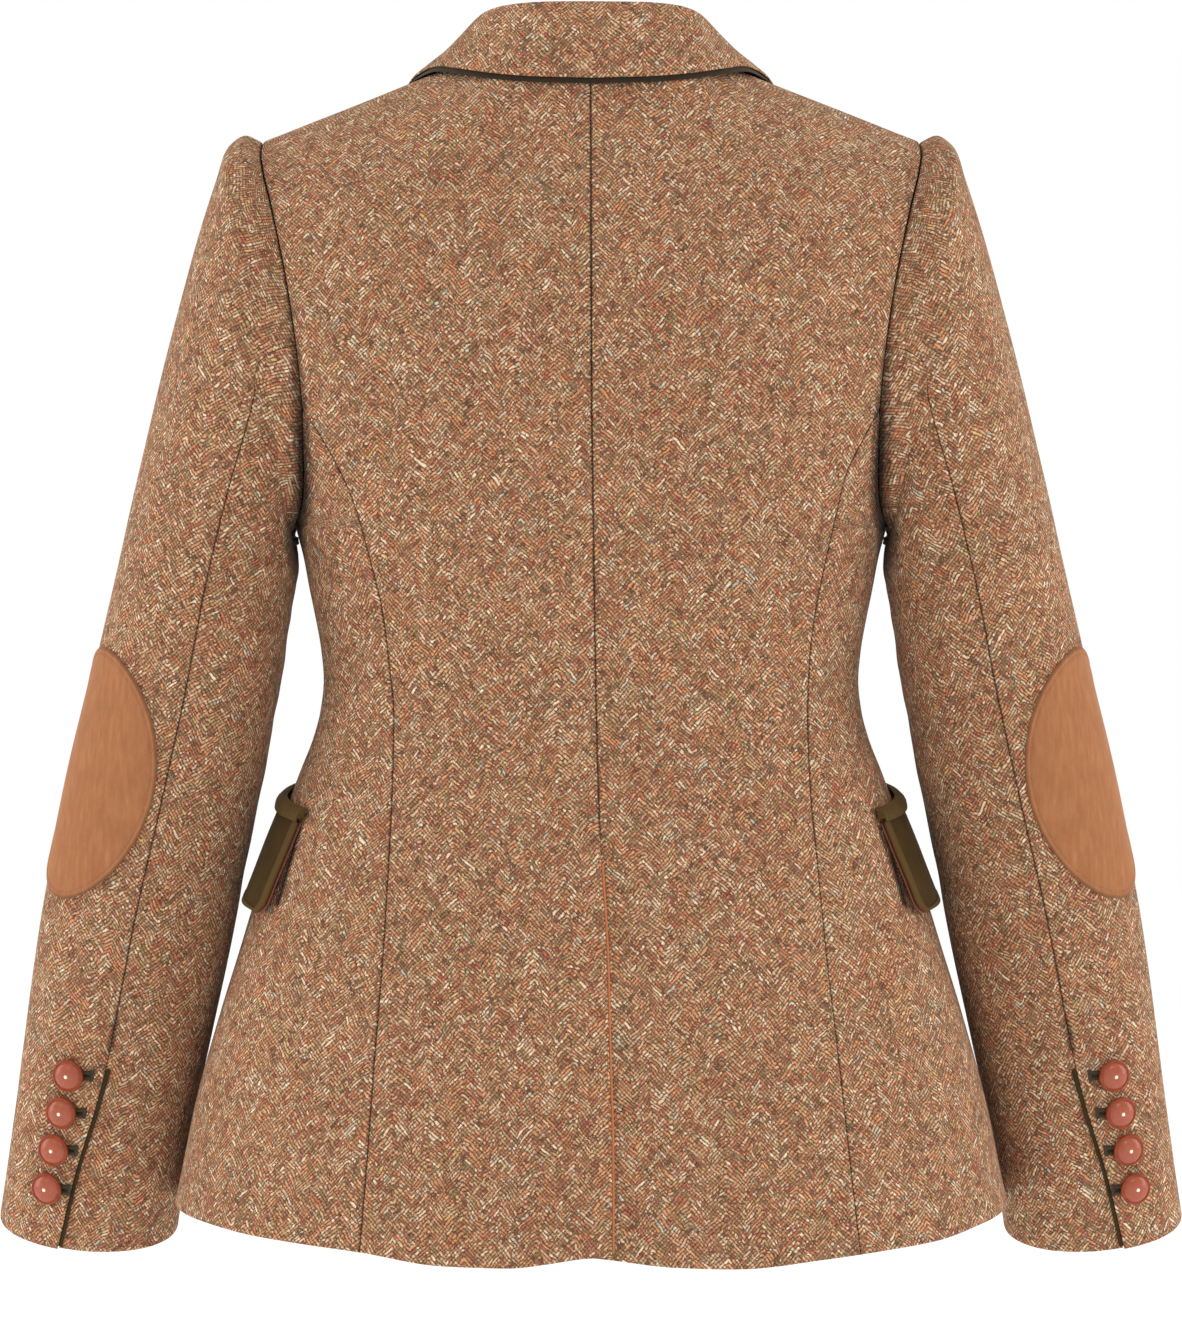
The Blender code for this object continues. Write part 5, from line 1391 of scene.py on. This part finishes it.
def make_lapel(side):
    start = -177.0 if side > 0 else -214.0
    rs = spaced(1.0, 60, (False, False))
    qs = np.concatenate([[0, 0.004, 0.01, 0.02, 0.035, 0.05], np.linspace(0.085, 1, 26)])
    grid, norm = [], []
    for r in rs:
        z = start + (GORGE - start) * r
        x = side * front_edge(side, z)
        full = (z - BREAK) / (GORGE - BREAK)
        w = float(curve(LAPEL, 1, full)) * (1.0 if side < 0 else float(ease(0.25 + r * 2.2)))
        tilt = math.radians(23.0 - 10.0 * full)
        lift = np.interp(qs, (0.0, 0.05, 0.3, 0.65, 1.0), (2.2, 3.9, 4.4, 4.3, 4.1))
        xx, zz = x + w * qs * math.cos(tilt), z - w * qs * math.sin(tilt)
        th = np.array([front_theta(side, side * a, b) for a, b in zip(xx, zz)])
        p, n = front_body(side, th, zz)
        k = (1 - ease(qs / 0.05))[:, None]
        roll = p[:1] + np.array([[-side * 2.4, -2.2, 0.0]])
        flat = p + n * lift[:, None]
        rn = unit(n[:1] + np.array([[-side * 1.2, 0, 0]]))
        grid.append(flat * (1 - k) + roll * k)
        norm.append(unit(n * (1 - k) + rn * k))
    grid, norm = np.array(grid), np.array(norm)
    d = edge_distances(grid)
    drop = folded(np.minimum(d[1], d[3]), 0.7, 1.5)
    line = -0.2 * np.exp(-(((np.minimum(d[1], d[3]) - 6.0) / 0.6) ** 2))
    uv = np.stack([along(grid, 1), along(grid, 0)], -1) + np.array([2.0 * side, 0.0])
    cloth("lapel_left_cloth" if side > 0 else "lapel_right_cloth", grid + norm * (line - drop)[..., None], norm,
          CLOTH - 2 * drop, uv, TWEED, np.minimum(d[1], d[3]) + 1.2, inner_mat=SHADED_INSIDE)


# ---------------------------------------------------------------------------
# Elbow patches, cuffs, buttons
# ---------------------------------------------------------------------------


def side_word(side):
    return "left" if side > 0 else "right"


def upper_sleeve(v, ph, lift=0.0):
    """A point on the upper sleeve's finished surface (worn side) and its normal."""
    v, ph = np.broadcast_arrays(np.asarray(v, float), np.asarray(ph, float))
    p, n = sleeve(v, ph), sleeve_normal(v, ph)
    angle = np.interp(v, LEVELS_V, LEVELS_A)
    close = ease(1 - np.abs(ph - angle) * 48.0 / 17.0) * ease((v - CUFF_VENT) / 14.0)
    wave = sleeve_wave(p, v, ph) * ease(v / 30.0) * ease((640 - v) / 60.0)
    return p + n * (0.9 * close + wave + lift)[..., None], n


LEVELS_V = np.linspace(0, 648, 300)
LEVELS_A = np.array([hind_seam(x) for x in LEVELS_V])


def disc(name, spokes, radii, point, thick, mats, side, lift_at, near_at):
    """A patch of cloth made from rings round a centre, with its under side."""
    pts, nrm, uvs, near = [], [], [], []
    be = np.arange(spokes) * 2 * math.pi / spokes
    for r in radii:
        v, ph, uv = point(r, be)
        p, n = upper_sleeve(v, ph, lift_at(r))
        pts.append(p)
        nrm.append(n)
        uvs.append(uv)
        near.append(np.full(spokes, near_at(r)))
    outer, normals = np.vstack(pts), np.vstack(nrm)
    th = np.repeat([thick(r) for r in radii], spokes)
    outer, normals = mirror(outer, side), mirror(normals, side)
    inner = outer - normals * th[:, None]
    n = len(outer)
    faces = []
    for k in range(len(radii) - 1):
        for i in range(spokes):
            j = (i + 1) % spokes
            a, b, c, d = k * spokes + i, k * spokes + j, (k + 1) * spokes + j, (k + 1) * spokes + i
            faces.append((a, d, c, b))
            faces.append((a + n, b + n, c + n, d + n))
    last = (len(radii) - 1) * spokes
    for i in range(spokes):
        j = (i + 1) % spokes
        faces.append((last + i, last + i + n, last + j + n, last + j))
    # the centre is closed by a fan
    centre_o, centre_i = outer[:spokes].mean(0), inner[:spokes].mean(0)
    verts = np.vstack([outer, inner, centre_o, centre_i])
    for i in range(spokes):
        j = (i + 1) % spokes
        faces.append((2 * n, i, j))
        faces.append((2 * n + 1, j + n, i + n))
    p = verts
    f = faces[0]
    if np.cross(p[f[1]] - p[f[0]], p[f[2]] - p[f[0]]) @ normals[f[0]] < 0:
        faces = [tuple(reversed(f)) for f in faces]
    uv = np.vstack(uvs)
    uv = np.vstack([uv, uv, uv[:spokes].mean(0), uv[:spokes].mean(0)])
    nr = np.concatenate([np.concatenate(near)] * 2 + [[60.0, 60.0]])
    return piece(name, verts, faces, mats, uv, nr)


def make_patch(side):
    wide, tall, tilt = PATCH_HALF
    reach = (wide + tall) / 2

    def point(r, be):
        v, ph = patch_point(r, be)
        return v, ph, np.stack([wide * r * np.cos(be), tall * r * np.sin(be)], -1)

    radii = np.concatenate([np.linspace(0.04, 0.90, 30), 1 - np.array([5.4, 4.6, 3.9, 3.4, 3.0, 2.6, 2.2, 1.7, 1.2, 0.8, 0.5, 0.25, 0.1, 0.0]) / reach])

    def lift_at(r):
        d = (1 - r) * reach
        swell = 0.35 * math.exp(-(((d - 1.5) / 1.2) ** 2)) - 0.40 * math.exp(-(((d - 3.3) / 0.55) ** 2))
        return SUEDE + 0.35 + swell - float(folded(np.array(d), 0.6, 1.3)) + 0.25 * math.exp(-(((d - 6.5) / 3.0) ** 2))

    def thick(r):
        d = (1 - r) * reach
        return SUEDE - float(folded(np.array(d), 0.5, 1.0)) + 0.25

    disc("elbow_patch_%s_suede" % side_word(side), 132, radii, point, thick, SUEDE_MAT, side, lift_at, lambda r: (1 - r) * reach)

    # a row of small stitches sunk into the suede near its edge
    d = 3.3 / reach
    be = np.linspace(0, 2 * math.pi, 1500)
    v, ph, _ = point(1 - d, be)
    p, n = upper_sleeve(v, ph, SUEDE + 0.05)
    s = np.concatenate([[0], np.cumsum(np.linalg.norm(np.diff(p, axis=0), axis=1))])
    paths, norms = [], []
    count = int(s[-1] / 2.9)
    pitch = s[-1] / count
    for k in range(count):
        at = (k + np.array([0.10, 0.2, 0.35, 0.5, 0.65, 0.8, 0.90])) * pitch
        q = np.stack([np.interp(at, s, p[:, c]) for c in range(3)], -1)
        m = np.stack([np.interp(at, s, n[:, c]) for c in range(3)], -1)
        dip = np.array([-0.30, -0.05, 0.12, 0.18, 0.12, -0.05, -0.30])
        paths.append(q + m * dip[:, None])
        norms.append(m)
    tubes("elbow_stitch_%s" % side_word(side), paths, norms, 0.19, PATCH_THREAD, side, sides=6)


def tubes(name, paths, norms, radius, mats, side=1, sides=8, flat=1.0, taper=True):
    """Round threads along paths, all in one mesh."""
    verts, faces, uvs = [], [], []
    at = 0
    for path, nm in zip(paths, norms):
        path, nm = np.asarray(path, float), unit(np.asarray(nm, float))
        t = unit(np.gradient(path, axis=0))
        b = unit(np.cross(t, nm))
        m = len(path)
        run = np.concatenate([[0], np.cumsum(np.linalg.norm(np.diff(path, axis=0), axis=1))])
        rad = np.full(m, radius)
        if taper:
            rad[0] *= 0.45
            rad[-1] *= 0.45
        for k in range(m):
            for c in range(sides):
                a = 2 * math.pi * c / sides
                verts.append(path[k] + rad[k] * (math.cos(a) * b[k] + flat * math.sin(a) * nm[k]))
                uvs.append((run[k], radius * a))
        for k in range(m - 1):
            for c in range(sides):
                e = (c + 1) % sides
                faces.append((at + k * sides + c, at + k * sides + e, at + (k + 1) * sides + e, at + (k + 1) * sides + c))
        faces.append(tuple(at + c for c in reversed(range(sides))))
        faces.append(tuple(at + (m - 1) * sides + c for c in range(sides)))
        at += m * sides
    verts = mirror(np.array(verts), side)
    if side > 0:
        faces = [tuple(reversed(f)) for f in faces]
    return piece(name, verts, faces, mats, np.array(uvs))


def make_cuff_facing(side):
    vs = np.linspace(CUFF_VENT + 8.0, 646.5, 60)
    ang = np.array([hind_seam(v) for v in vs])
    offs = np.array([-1.6, -0.6, 0.3, 0.9, 1.35, 1.7, 1.9])
    grid, norm = [], []
    for v, a in zip(vs, ang):
        ph = a + offs / 46.0
        n = sleeve_normal(np.full(7, v), ph)
        k = float(ease((v - CUFF_VENT) / 14.0))
        lift = np.array([-0.95, -0.9, -0.65, -0.25, 0.05, -0.10, -0.45]) + 0.35 * k
        grid.append(sleeve(np.full(7, v), ph) + n * (lift)[:, None])
        norm.append(n)
    grid, norm = np.array(grid), np.array(norm)
    uv = np.stack([along(grid, 1), along(grid, 0)], -1)
    cloth("cuff_facing_%s_cloth" % side_word(side), grid, norm, 0.6, uv, DARK_EDGE, np.full(grid.shape[:2], 30.0), side=side)


BUTTON_FINE = (
    (0.001, 1.5), (0.42, 1.5), (0.80, 1.62), (0.90, 1.85), (0.955, 2.2), (0.99, 2.7), (1.0, 3.2),
    (0.992, 3.7), (0.965, 4.15), (0.925, 4.42), (0.885, 4.46), (0.850, 4.30), (0.828, 4.05),
    (0.812, 4.05), (0.795, 4.35), (0.765, 4.72), (0.70, 5.15), (0.60, 5.60), (0.47, 5.98),
    (0.33, 6.25), (0.20, 6.38), (0.115, 6.40), (0.105, 6.30), (0.095, 6.42), (0.085, 6.62), (0.055, 6.74), (0.001, 6.78),
)


def lathe_button(name, p, n, up, radius, sides=48):
    f = frame_at(p, n, up)
    verts, faces, mat = [], [], []
    count = len(BUTTON_FINE)
    for r, h in BUTTON_FINE:
        for k in range(sides):
            a = 2 * math.pi * k / sides
            verts.append(p + f @ np.array([radius * r * math.cos(a), radius * r * math.sin(a), h]))
    for j in range(count - 1):
        which = 0 if j < 12 else 1 if j < 21 else 2
        for k in range(sides):
            m = (k + 1) % sides
            faces.append((j * sides + k, j * sides + m, (j + 1) * sides + m, (j + 1) * sides + k))
            mat.append(which)
    faces.append(tuple(reversed(range(sides))))
    mat.append(0)
    faces.append(tuple((count - 1) * sides + k for k in range(sides)))
    mat.append(2)
    return piece(name, verts, faces, [RIM, DOME, PIN], face_mat=mat)


def hole_paths(frame_point, reach0, reach1, half):
    """The purl round a buttonhole: two runs and a squared bar at its end."""
    paths, norms = [], []
    for sgn in (-1.0, 1.0):
        a = np.linspace(reach0, reach1, 26)
        pts, ns = frame_point(a, np.full(26, sgn * half))
        paths.append(pts)
        norms.append(ns)
    b = np.linspace(-half - 1.25, half + 1.25, 16)
    pts, ns = frame_point(np.full(16, reach1 + 0.6), b)
    paths.append(pts)
    norms.append(ns)
    return paths, norms


def make_cuff_buttons(side):
    flip = np.array([side, 1, 1])
    for k, (z, deg) in enumerate(CUFF_BUTTONS, 1):
        ph = math.radians(deg)
        v = cuff_v(ph, z)
        p, n = upper_sleeve(v, ph)
        up = unit(sleeve(v - 5, ph) - sleeve(v + 5, ph))
        lathe_button("cuff_button_%s_%d_turned" % (side_word(side), k), p * flip, n * flip, up * flip, 9.4)

        def on(a, b, lift=0.35):
            q, m = upper_sleeve(v + b, ph + a / 48.0, lift)
            return q, m

        paths, norms = hole_paths(on, 3.0, 11.2, 1.75)
        tubes("cuff_hole_%s_%d_purl" % (side_word(side), k), paths, norms, 1.12, PURL, side, sides=10, flat=0.62, taper=False)
        a = np.linspace(3.0, 11.4, 12)
        grid, norm = [], []
        for b in np.linspace(-1.3, 1.3, 5):
            q, m = on(a, np.full(12, b), 0.12)
            grid.append(q)
            norm.append(m)
        grid, norm = np.array(grid), np.array(norm)
        cloth("cuff_slot_%s_%d" % (side_word(side), k), grid, norm, 0.4, np.stack([along(grid, 1), along(grid, 0)], -1),
              DARK_EDGE, np.full(grid.shape[:2], 0.4), side=side)


def make_front_buttons():
    for k, z in enumerate((-258.0, -343.0, -428.0), 1):
        p, n = front_body(1, np.array([math.pi]), np.array([z]))
        lathe_button("front_button_%d_turned" % k, p[0] + n[0] * 1.5, n[0], np.array([0, 0, 1.0]), 10.5)

        def on(a, b):
            x = -17.0 + 4.0 + a
            th = np.array([front_theta(-1, -abs(float(q)) if q < 0 else float(q), z + float(w)) for q, w in zip(x, b)])
            q, m = front_body(-1, th, z + b)
            return q + m * 2.0, m

        paths, norms = hole_paths(lambda a, b: on(a, b), 17.0 - 4.0 + 8.0, 17.0 - 4.0 + 14.5, 1.8)
        tubes("front_hole_%d_purl" % k, paths, norms, 1.1, PURL, 1, sides=8, flat=0.62, taper=False)


# ---------------------------------------------------------------------------
# Vent facing and pockets
# ---------------------------------------------------------------------------


def make_vent_facing():
    zs = np.concatenate([np.linspace(VENT_TOP - 14, -655.0, 110), [-658.5, -661.0]])
    offs = np.array([-1.45, -1.2, -0.92, -0.6, -0.28, -0.05, 0.6, 2.0])
    lifts = np.array([-0.15, 0.22, 0.48, 0.58, 0.45, 0.1, -0.35, -0.5])
    grid, norm = [], []
    for z0 in zs:
        x = float(curve(CENTRE, 1, z0)) + offs
        z = np.full(8, float(z0))
        th = theta(x, z)
        n = body_normal(th, z)
        k = float(ease((VENT_TOP - 8 - z0) / 30.0))
        grid.append(body(th, z) + n * (lifts * (0.4 + 0.6 * k))[:, None])
        norm.append(n)
    grid, norm = np.array(grid), np.array(norm)
    uv = np.stack([along(grid, 1), along(grid, 0)], -1)
    cloth("vent_facing_cloth", grid, norm, 0.5, uv, FACING, np.full(grid.shape[:2], 30.0))


REACH_Z = np.linspace(-506.0, -396.0, 56)
REACH_A = np.linspace(-12.0, 142.0, 90)


def reach_table():
    """Ring angle by height and by length forward from the pocket's back end."""
    out = []
    for z in REACH_Z:
        start = float(np.arccos(np.clip((POCKET_BACK_Y / curve(BODY, 2, z)) ** (curve(BODY, 4, z) / 2), 0, 1)))
        th = np.linspace(start - 0.15, math.pi * 0.98, 300)
        p = body(th, np.full(300, z))
        length = np.concatenate([[0], np.cumsum(np.linalg.norm(np.diff(p, axis=0), axis=1))])
        length -= np.interp(start, th, length)
        out.append(np.interp(REACH_A, length, th))
    return np.array(out)


REACH = reach_table()


def pocket_line(a, b):
    z = POCKET_TOP + POCKET_SLANT * a - b
    i = np.clip((z - REACH_Z[0]) / (REACH_Z[1] - REACH_Z[0]), 0, len(REACH_Z) - 1.001)
    j = np.clip((a - REACH_A[0]) / (REACH_A[1] - REACH_A[0]), 0, len(REACH_A) - 1.001)
    i0, j0 = i.astype(int), j.astype(int)
    s, t = i - i0, j - j0
    th = ((1 - s) * (1 - t) * REACH[i0, j0] + s * (1 - t) * REACH[i0 + 1, j0]
          + (1 - s) * t * REACH[i0, j0 + 1] + s * t * REACH[i0 + 1, j0 + 1])
    return body(th, z), body_normal(th, z)


def pocket_grid(rows):
    """rows of (a, b, lift) cells to points and normals that follow the lift."""
    pts, out = [], []
    for row in rows:
        cells = np.array(row, float)
        p, n = pocket_line(cells[:, 0], cells[:, 1])
        pts.append(p + n * cells[:, 2:3])
        out.append(n)
    pts, out = np.array(pts), np.array(out)
    dj, di = np.gradient(pts, axis=0), np.gradient(pts, axis=1)
    n = unit(np.cross(di, dj))
    return pts, n * np.sign((n * out).sum(-1, keepdims=True))


def trim_at(b):
    r = 9.0
    t = max(0.0, b - (FLAP_TALL - r))
    return r - math.sqrt(max(r * r - t * t, 0.0))


def make_pocket(side):
    word = side_word(side)
    cols = spaced(1.0, 56, (False, False))
    cols = 0.5 - 0.5 * np.cos(math.pi * cols)
    bs = np.concatenate([np.linspace(0.8, FLAP_TALL - 9.0, 18)[:-1], FLAP_TALL - 9.0 + 9.0 * np.sin(np.linspace(0, math.pi / 2, 14))])
    flap, lining, sides = [], [], []
    for b in bs:
        trim = trim_at(b)
        lean = -6.0 * b / FLAP_TALL * (1 - cols)
        aa = trim + (FLAP_WIDE - 2 * trim) * cols + lean
        edge = np.minimum(np.minimum(aa - (trim + lean[0]), (trim + lean[-1] + FLAP_WIDE - 2 * trim) - aa), FLAP_TALL - b)
        sides.append(edge)
        flap.append([(a, b, flap_lift(a, b)) for a in aa])
        trim = max(trim - 0.4, -0.4)
        aa = trim + (FLAP_WIDE - 2 * trim) * cols + lean
        lining.append([(a, b + 0.35 * (b / FLAP_TALL) ** 6, flap_lift(max(a, 0), b) - 2.55) for a in aa])
    p, n = pocket_grid(flap)
    d = edge_distances(p)
    edge = np.minimum(np.minimum(d[0], d[1]), d[3])
    rim = 0.35 * ease((5.6 - edge) / 0.8) - 0.25 * np.exp(-(((edge - 5.9) / 0.5) ** 2))
    drop = folded(edge, 0.85, 1.8)
    wave = 0.3 * waver(d[0], d[2], 41, 40.0)
    uv = np.stack([d[0], d[2]], -1)
    cloth("pocket_flap_%s_cloth" % word, p + n * (rim + wave - drop)[..., None], n, 2.3 - 1.8 * drop, uv, MOLESKIN, edge, side=side)
    p, n = pocket_grid(lining)
    d = edge_distances(p)
    drop = folded(np.minimum(np.minimum(d[0], d[1]), d[3]), 0.25, 0.6)
    cloth("flap_lining_%s_cloth" % word, p + n * (wave - drop)[..., None], n, 0.7 - 2 * drop, np.stack([d[0], d[2]], -1), LINING,
          np.full(p.shape[:2], 30.0), side=side)
    profile = ((-7.8, 2.3), (-7.75, 3.6), (-7.2, 5.0), (-5.9, 6.3), (-4.3, 7.1), (-2.6, 7.45), (-1.0, 7.3), (0.3, 7.0), (1.0, 6.7))
    t = np.linspace(0, len(profile) - 1, 25)
    pb = np.interp(t, range(len(profile)), [q[0] for q in profile])
    pl = np.interp(t, range(len(profile)), [q[1] for q in profile])
    aa = -1.2 + (FLAP_WIDE + 2.4) * cols
    p, n = pocket_grid([[(a, b, c) for a in aa] for b, c in zip(pb, pl)])
    d = edge_distances(p)
    wave = 0.25 * waver(d[0], d[2], 47, 24.0)
    drop = folded(np.minimum(np.minimum(d[0], d[1]), d[3]), 0.55, 1.2)
    # the welt is a roll: its inner side turns in towards the coat above the flap
    full = 1.6 + np.maximum(pl - 2.6, 0.0) * ease((-0.6 - pb) / 1.6)
    cloth("pocket_welt_%s_cloth" % word, p + n * (wave - drop)[..., None], n, full[:, None] - 2 * drop, np.stack([d[0], d[2]], -1), WELT,
          np.full(p.shape[:2], 30.0), side=side)


# ---------------------------------------------------------------------------
# Building
# ---------------------------------------------------------------------------

for s in (1, -1):
    make_back(s)
    make_side_back(s)
    make_front(s)
    make_sleeve(s, True)
    make_sleeve(s, False)
    make_lapel(s)
    make_patch(s)
    make_cuff_facing(s)
    make_cuff_buttons(s)
    make_pocket(s)
make_collar()
make_vent_facing()
make_front_buttons()

# the solids that the finer pieces stand in for are hidden
TWEED_NODES = ("back", "side_back", "front", "lapel")
for word in ("left", "right"):
    for base in TWEED_NODES:
        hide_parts("%s_%s" % (base, word))
    for base in ("sleeve_upper", "sleeve_under"):
        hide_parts("%s_%s" % (base, word))
    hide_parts("elbow_patch_%s" % word)
    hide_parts("cuff_facing_%s" % word)
    for k in range(1, 5):
        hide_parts("cuff_button_%s_%d" % (word, k))
        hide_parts("cuff_hole_%s_%d" % (word, k))
    for base, slot_name in (("pocket_flap", "moleskin"), ("pocket_welt", "moleskin"), ("flap_lining", "facing")):
        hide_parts("%s_%s" % (base, word))
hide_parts("collar_upper")
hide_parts("collar_under")
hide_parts("vent_facing")
for k in (1, 2, 3):
    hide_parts("front_button_%d" % k)


# ---------------------------------------------------------------------------
# Stage, light and camera
# ---------------------------------------------------------------------------

scene = bpy.context.scene

floor_mat = Shade("floor")
place = floor_mat.place()
grainy = floor_mat.noise(place, 3.0, 3.0, 0.5)
floor_mat.finish(floor_mat.blend(grainy, (0.90, 0.90, 0.90), (0.94, 0.94, 0.94)), 0.7,
                 floor_mat.bump(floor_mat.noise(place, 60.0, 2.0, 0.5), 0.0004, 0.2))
floor_mat.bsdf.inputs["Emission Color"].default_value = (1, 1, 1, 1)
floor_mat.bsdf.inputs["Emission Strength"].default_value = FLOOR_GLOW
mesh = bpy.data.meshes.new("floor")
n = 64
ring = [(14 * math.cos(2 * math.pi * k / n), 14 * math.sin(2 * math.pi * k / n), -1.45) for k in range(n)]
mesh.from_pydata(ring + [(0, 0, -1.45)], [], [(k, (k + 1) % n, n) for k in range(n)])
floor = bpy.data.objects.new("floor", mesh)
bpy.context.collection.objects.link(floor)
mesh.materials.append(floor_mat.mat)

world = bpy.data.worlds.new("studio")
scene.world = world
world.use_nodes = True
tree = world.node_tree
tree.nodes.clear()
out = tree.nodes.new("ShaderNodeOutputWorld")
bg = tree.nodes.new("ShaderNodeBackground")
bg.inputs[0].default_value = (1.0, 1.0, 1.0, 1.0)
bg.inputs[1].default_value = AMBIENT
seen = tree.nodes.new("ShaderNodeBackground")
seen.inputs[0].default_value = (1.0, 1.0, 1.0, 1.0)
seen.inputs[1].default_value = 1.0
ray = tree.nodes.new("ShaderNodeLightPath")
mixer = tree.nodes.new("ShaderNodeMixShader")
tree.links.new(ray.outputs["Is Camera Ray"], mixer.inputs[0])
tree.links.new(bg.outputs[0], mixer.inputs[1])
tree.links.new(seen.outputs[0], mixer.inputs[2])
tree.links.new(mixer.outputs[0], out.inputs[0])


def softbox(name, place, target, size, power):
    data = bpy.data.lights.new(name, "AREA")
    data.shape = "RECTANGLE"
    data.size, data.size_y = size
    data.energy = power
    ob = bpy.data.objects.new(name, data)
    bpy.context.collection.objects.link(ob)
    ob.location = place
    ob.rotation_mode = "QUATERNION"
    ob.rotation_quaternion = (Vector(target) - Vector(place)).to_track_quat("-Z", "Y")
    return ob


for name, at, aim, size, power in LIGHTS:
    softbox(name, at, aim, size, power)

scene.view_settings.view_transform = "Standard"
scene.view_settings.look = "None"
scene.view_settings.exposure = 0.0
scene.view_settings.gamma = 1.0

cam = bpy.data.cameras.new("camera")
cam.sensor_width = 36.0
cam.lens = 142.46
cam.clip_start, cam.clip_end = 0.05, 60.0
view = bpy.data.objects.new("camera", cam)
bpy.context.collection.objects.link(view)
view.location = (0.0, 3.0, -0.3414)
view.rotation_euler = (math.pi / 2, 0.0, math.pi)
scene.camera = view
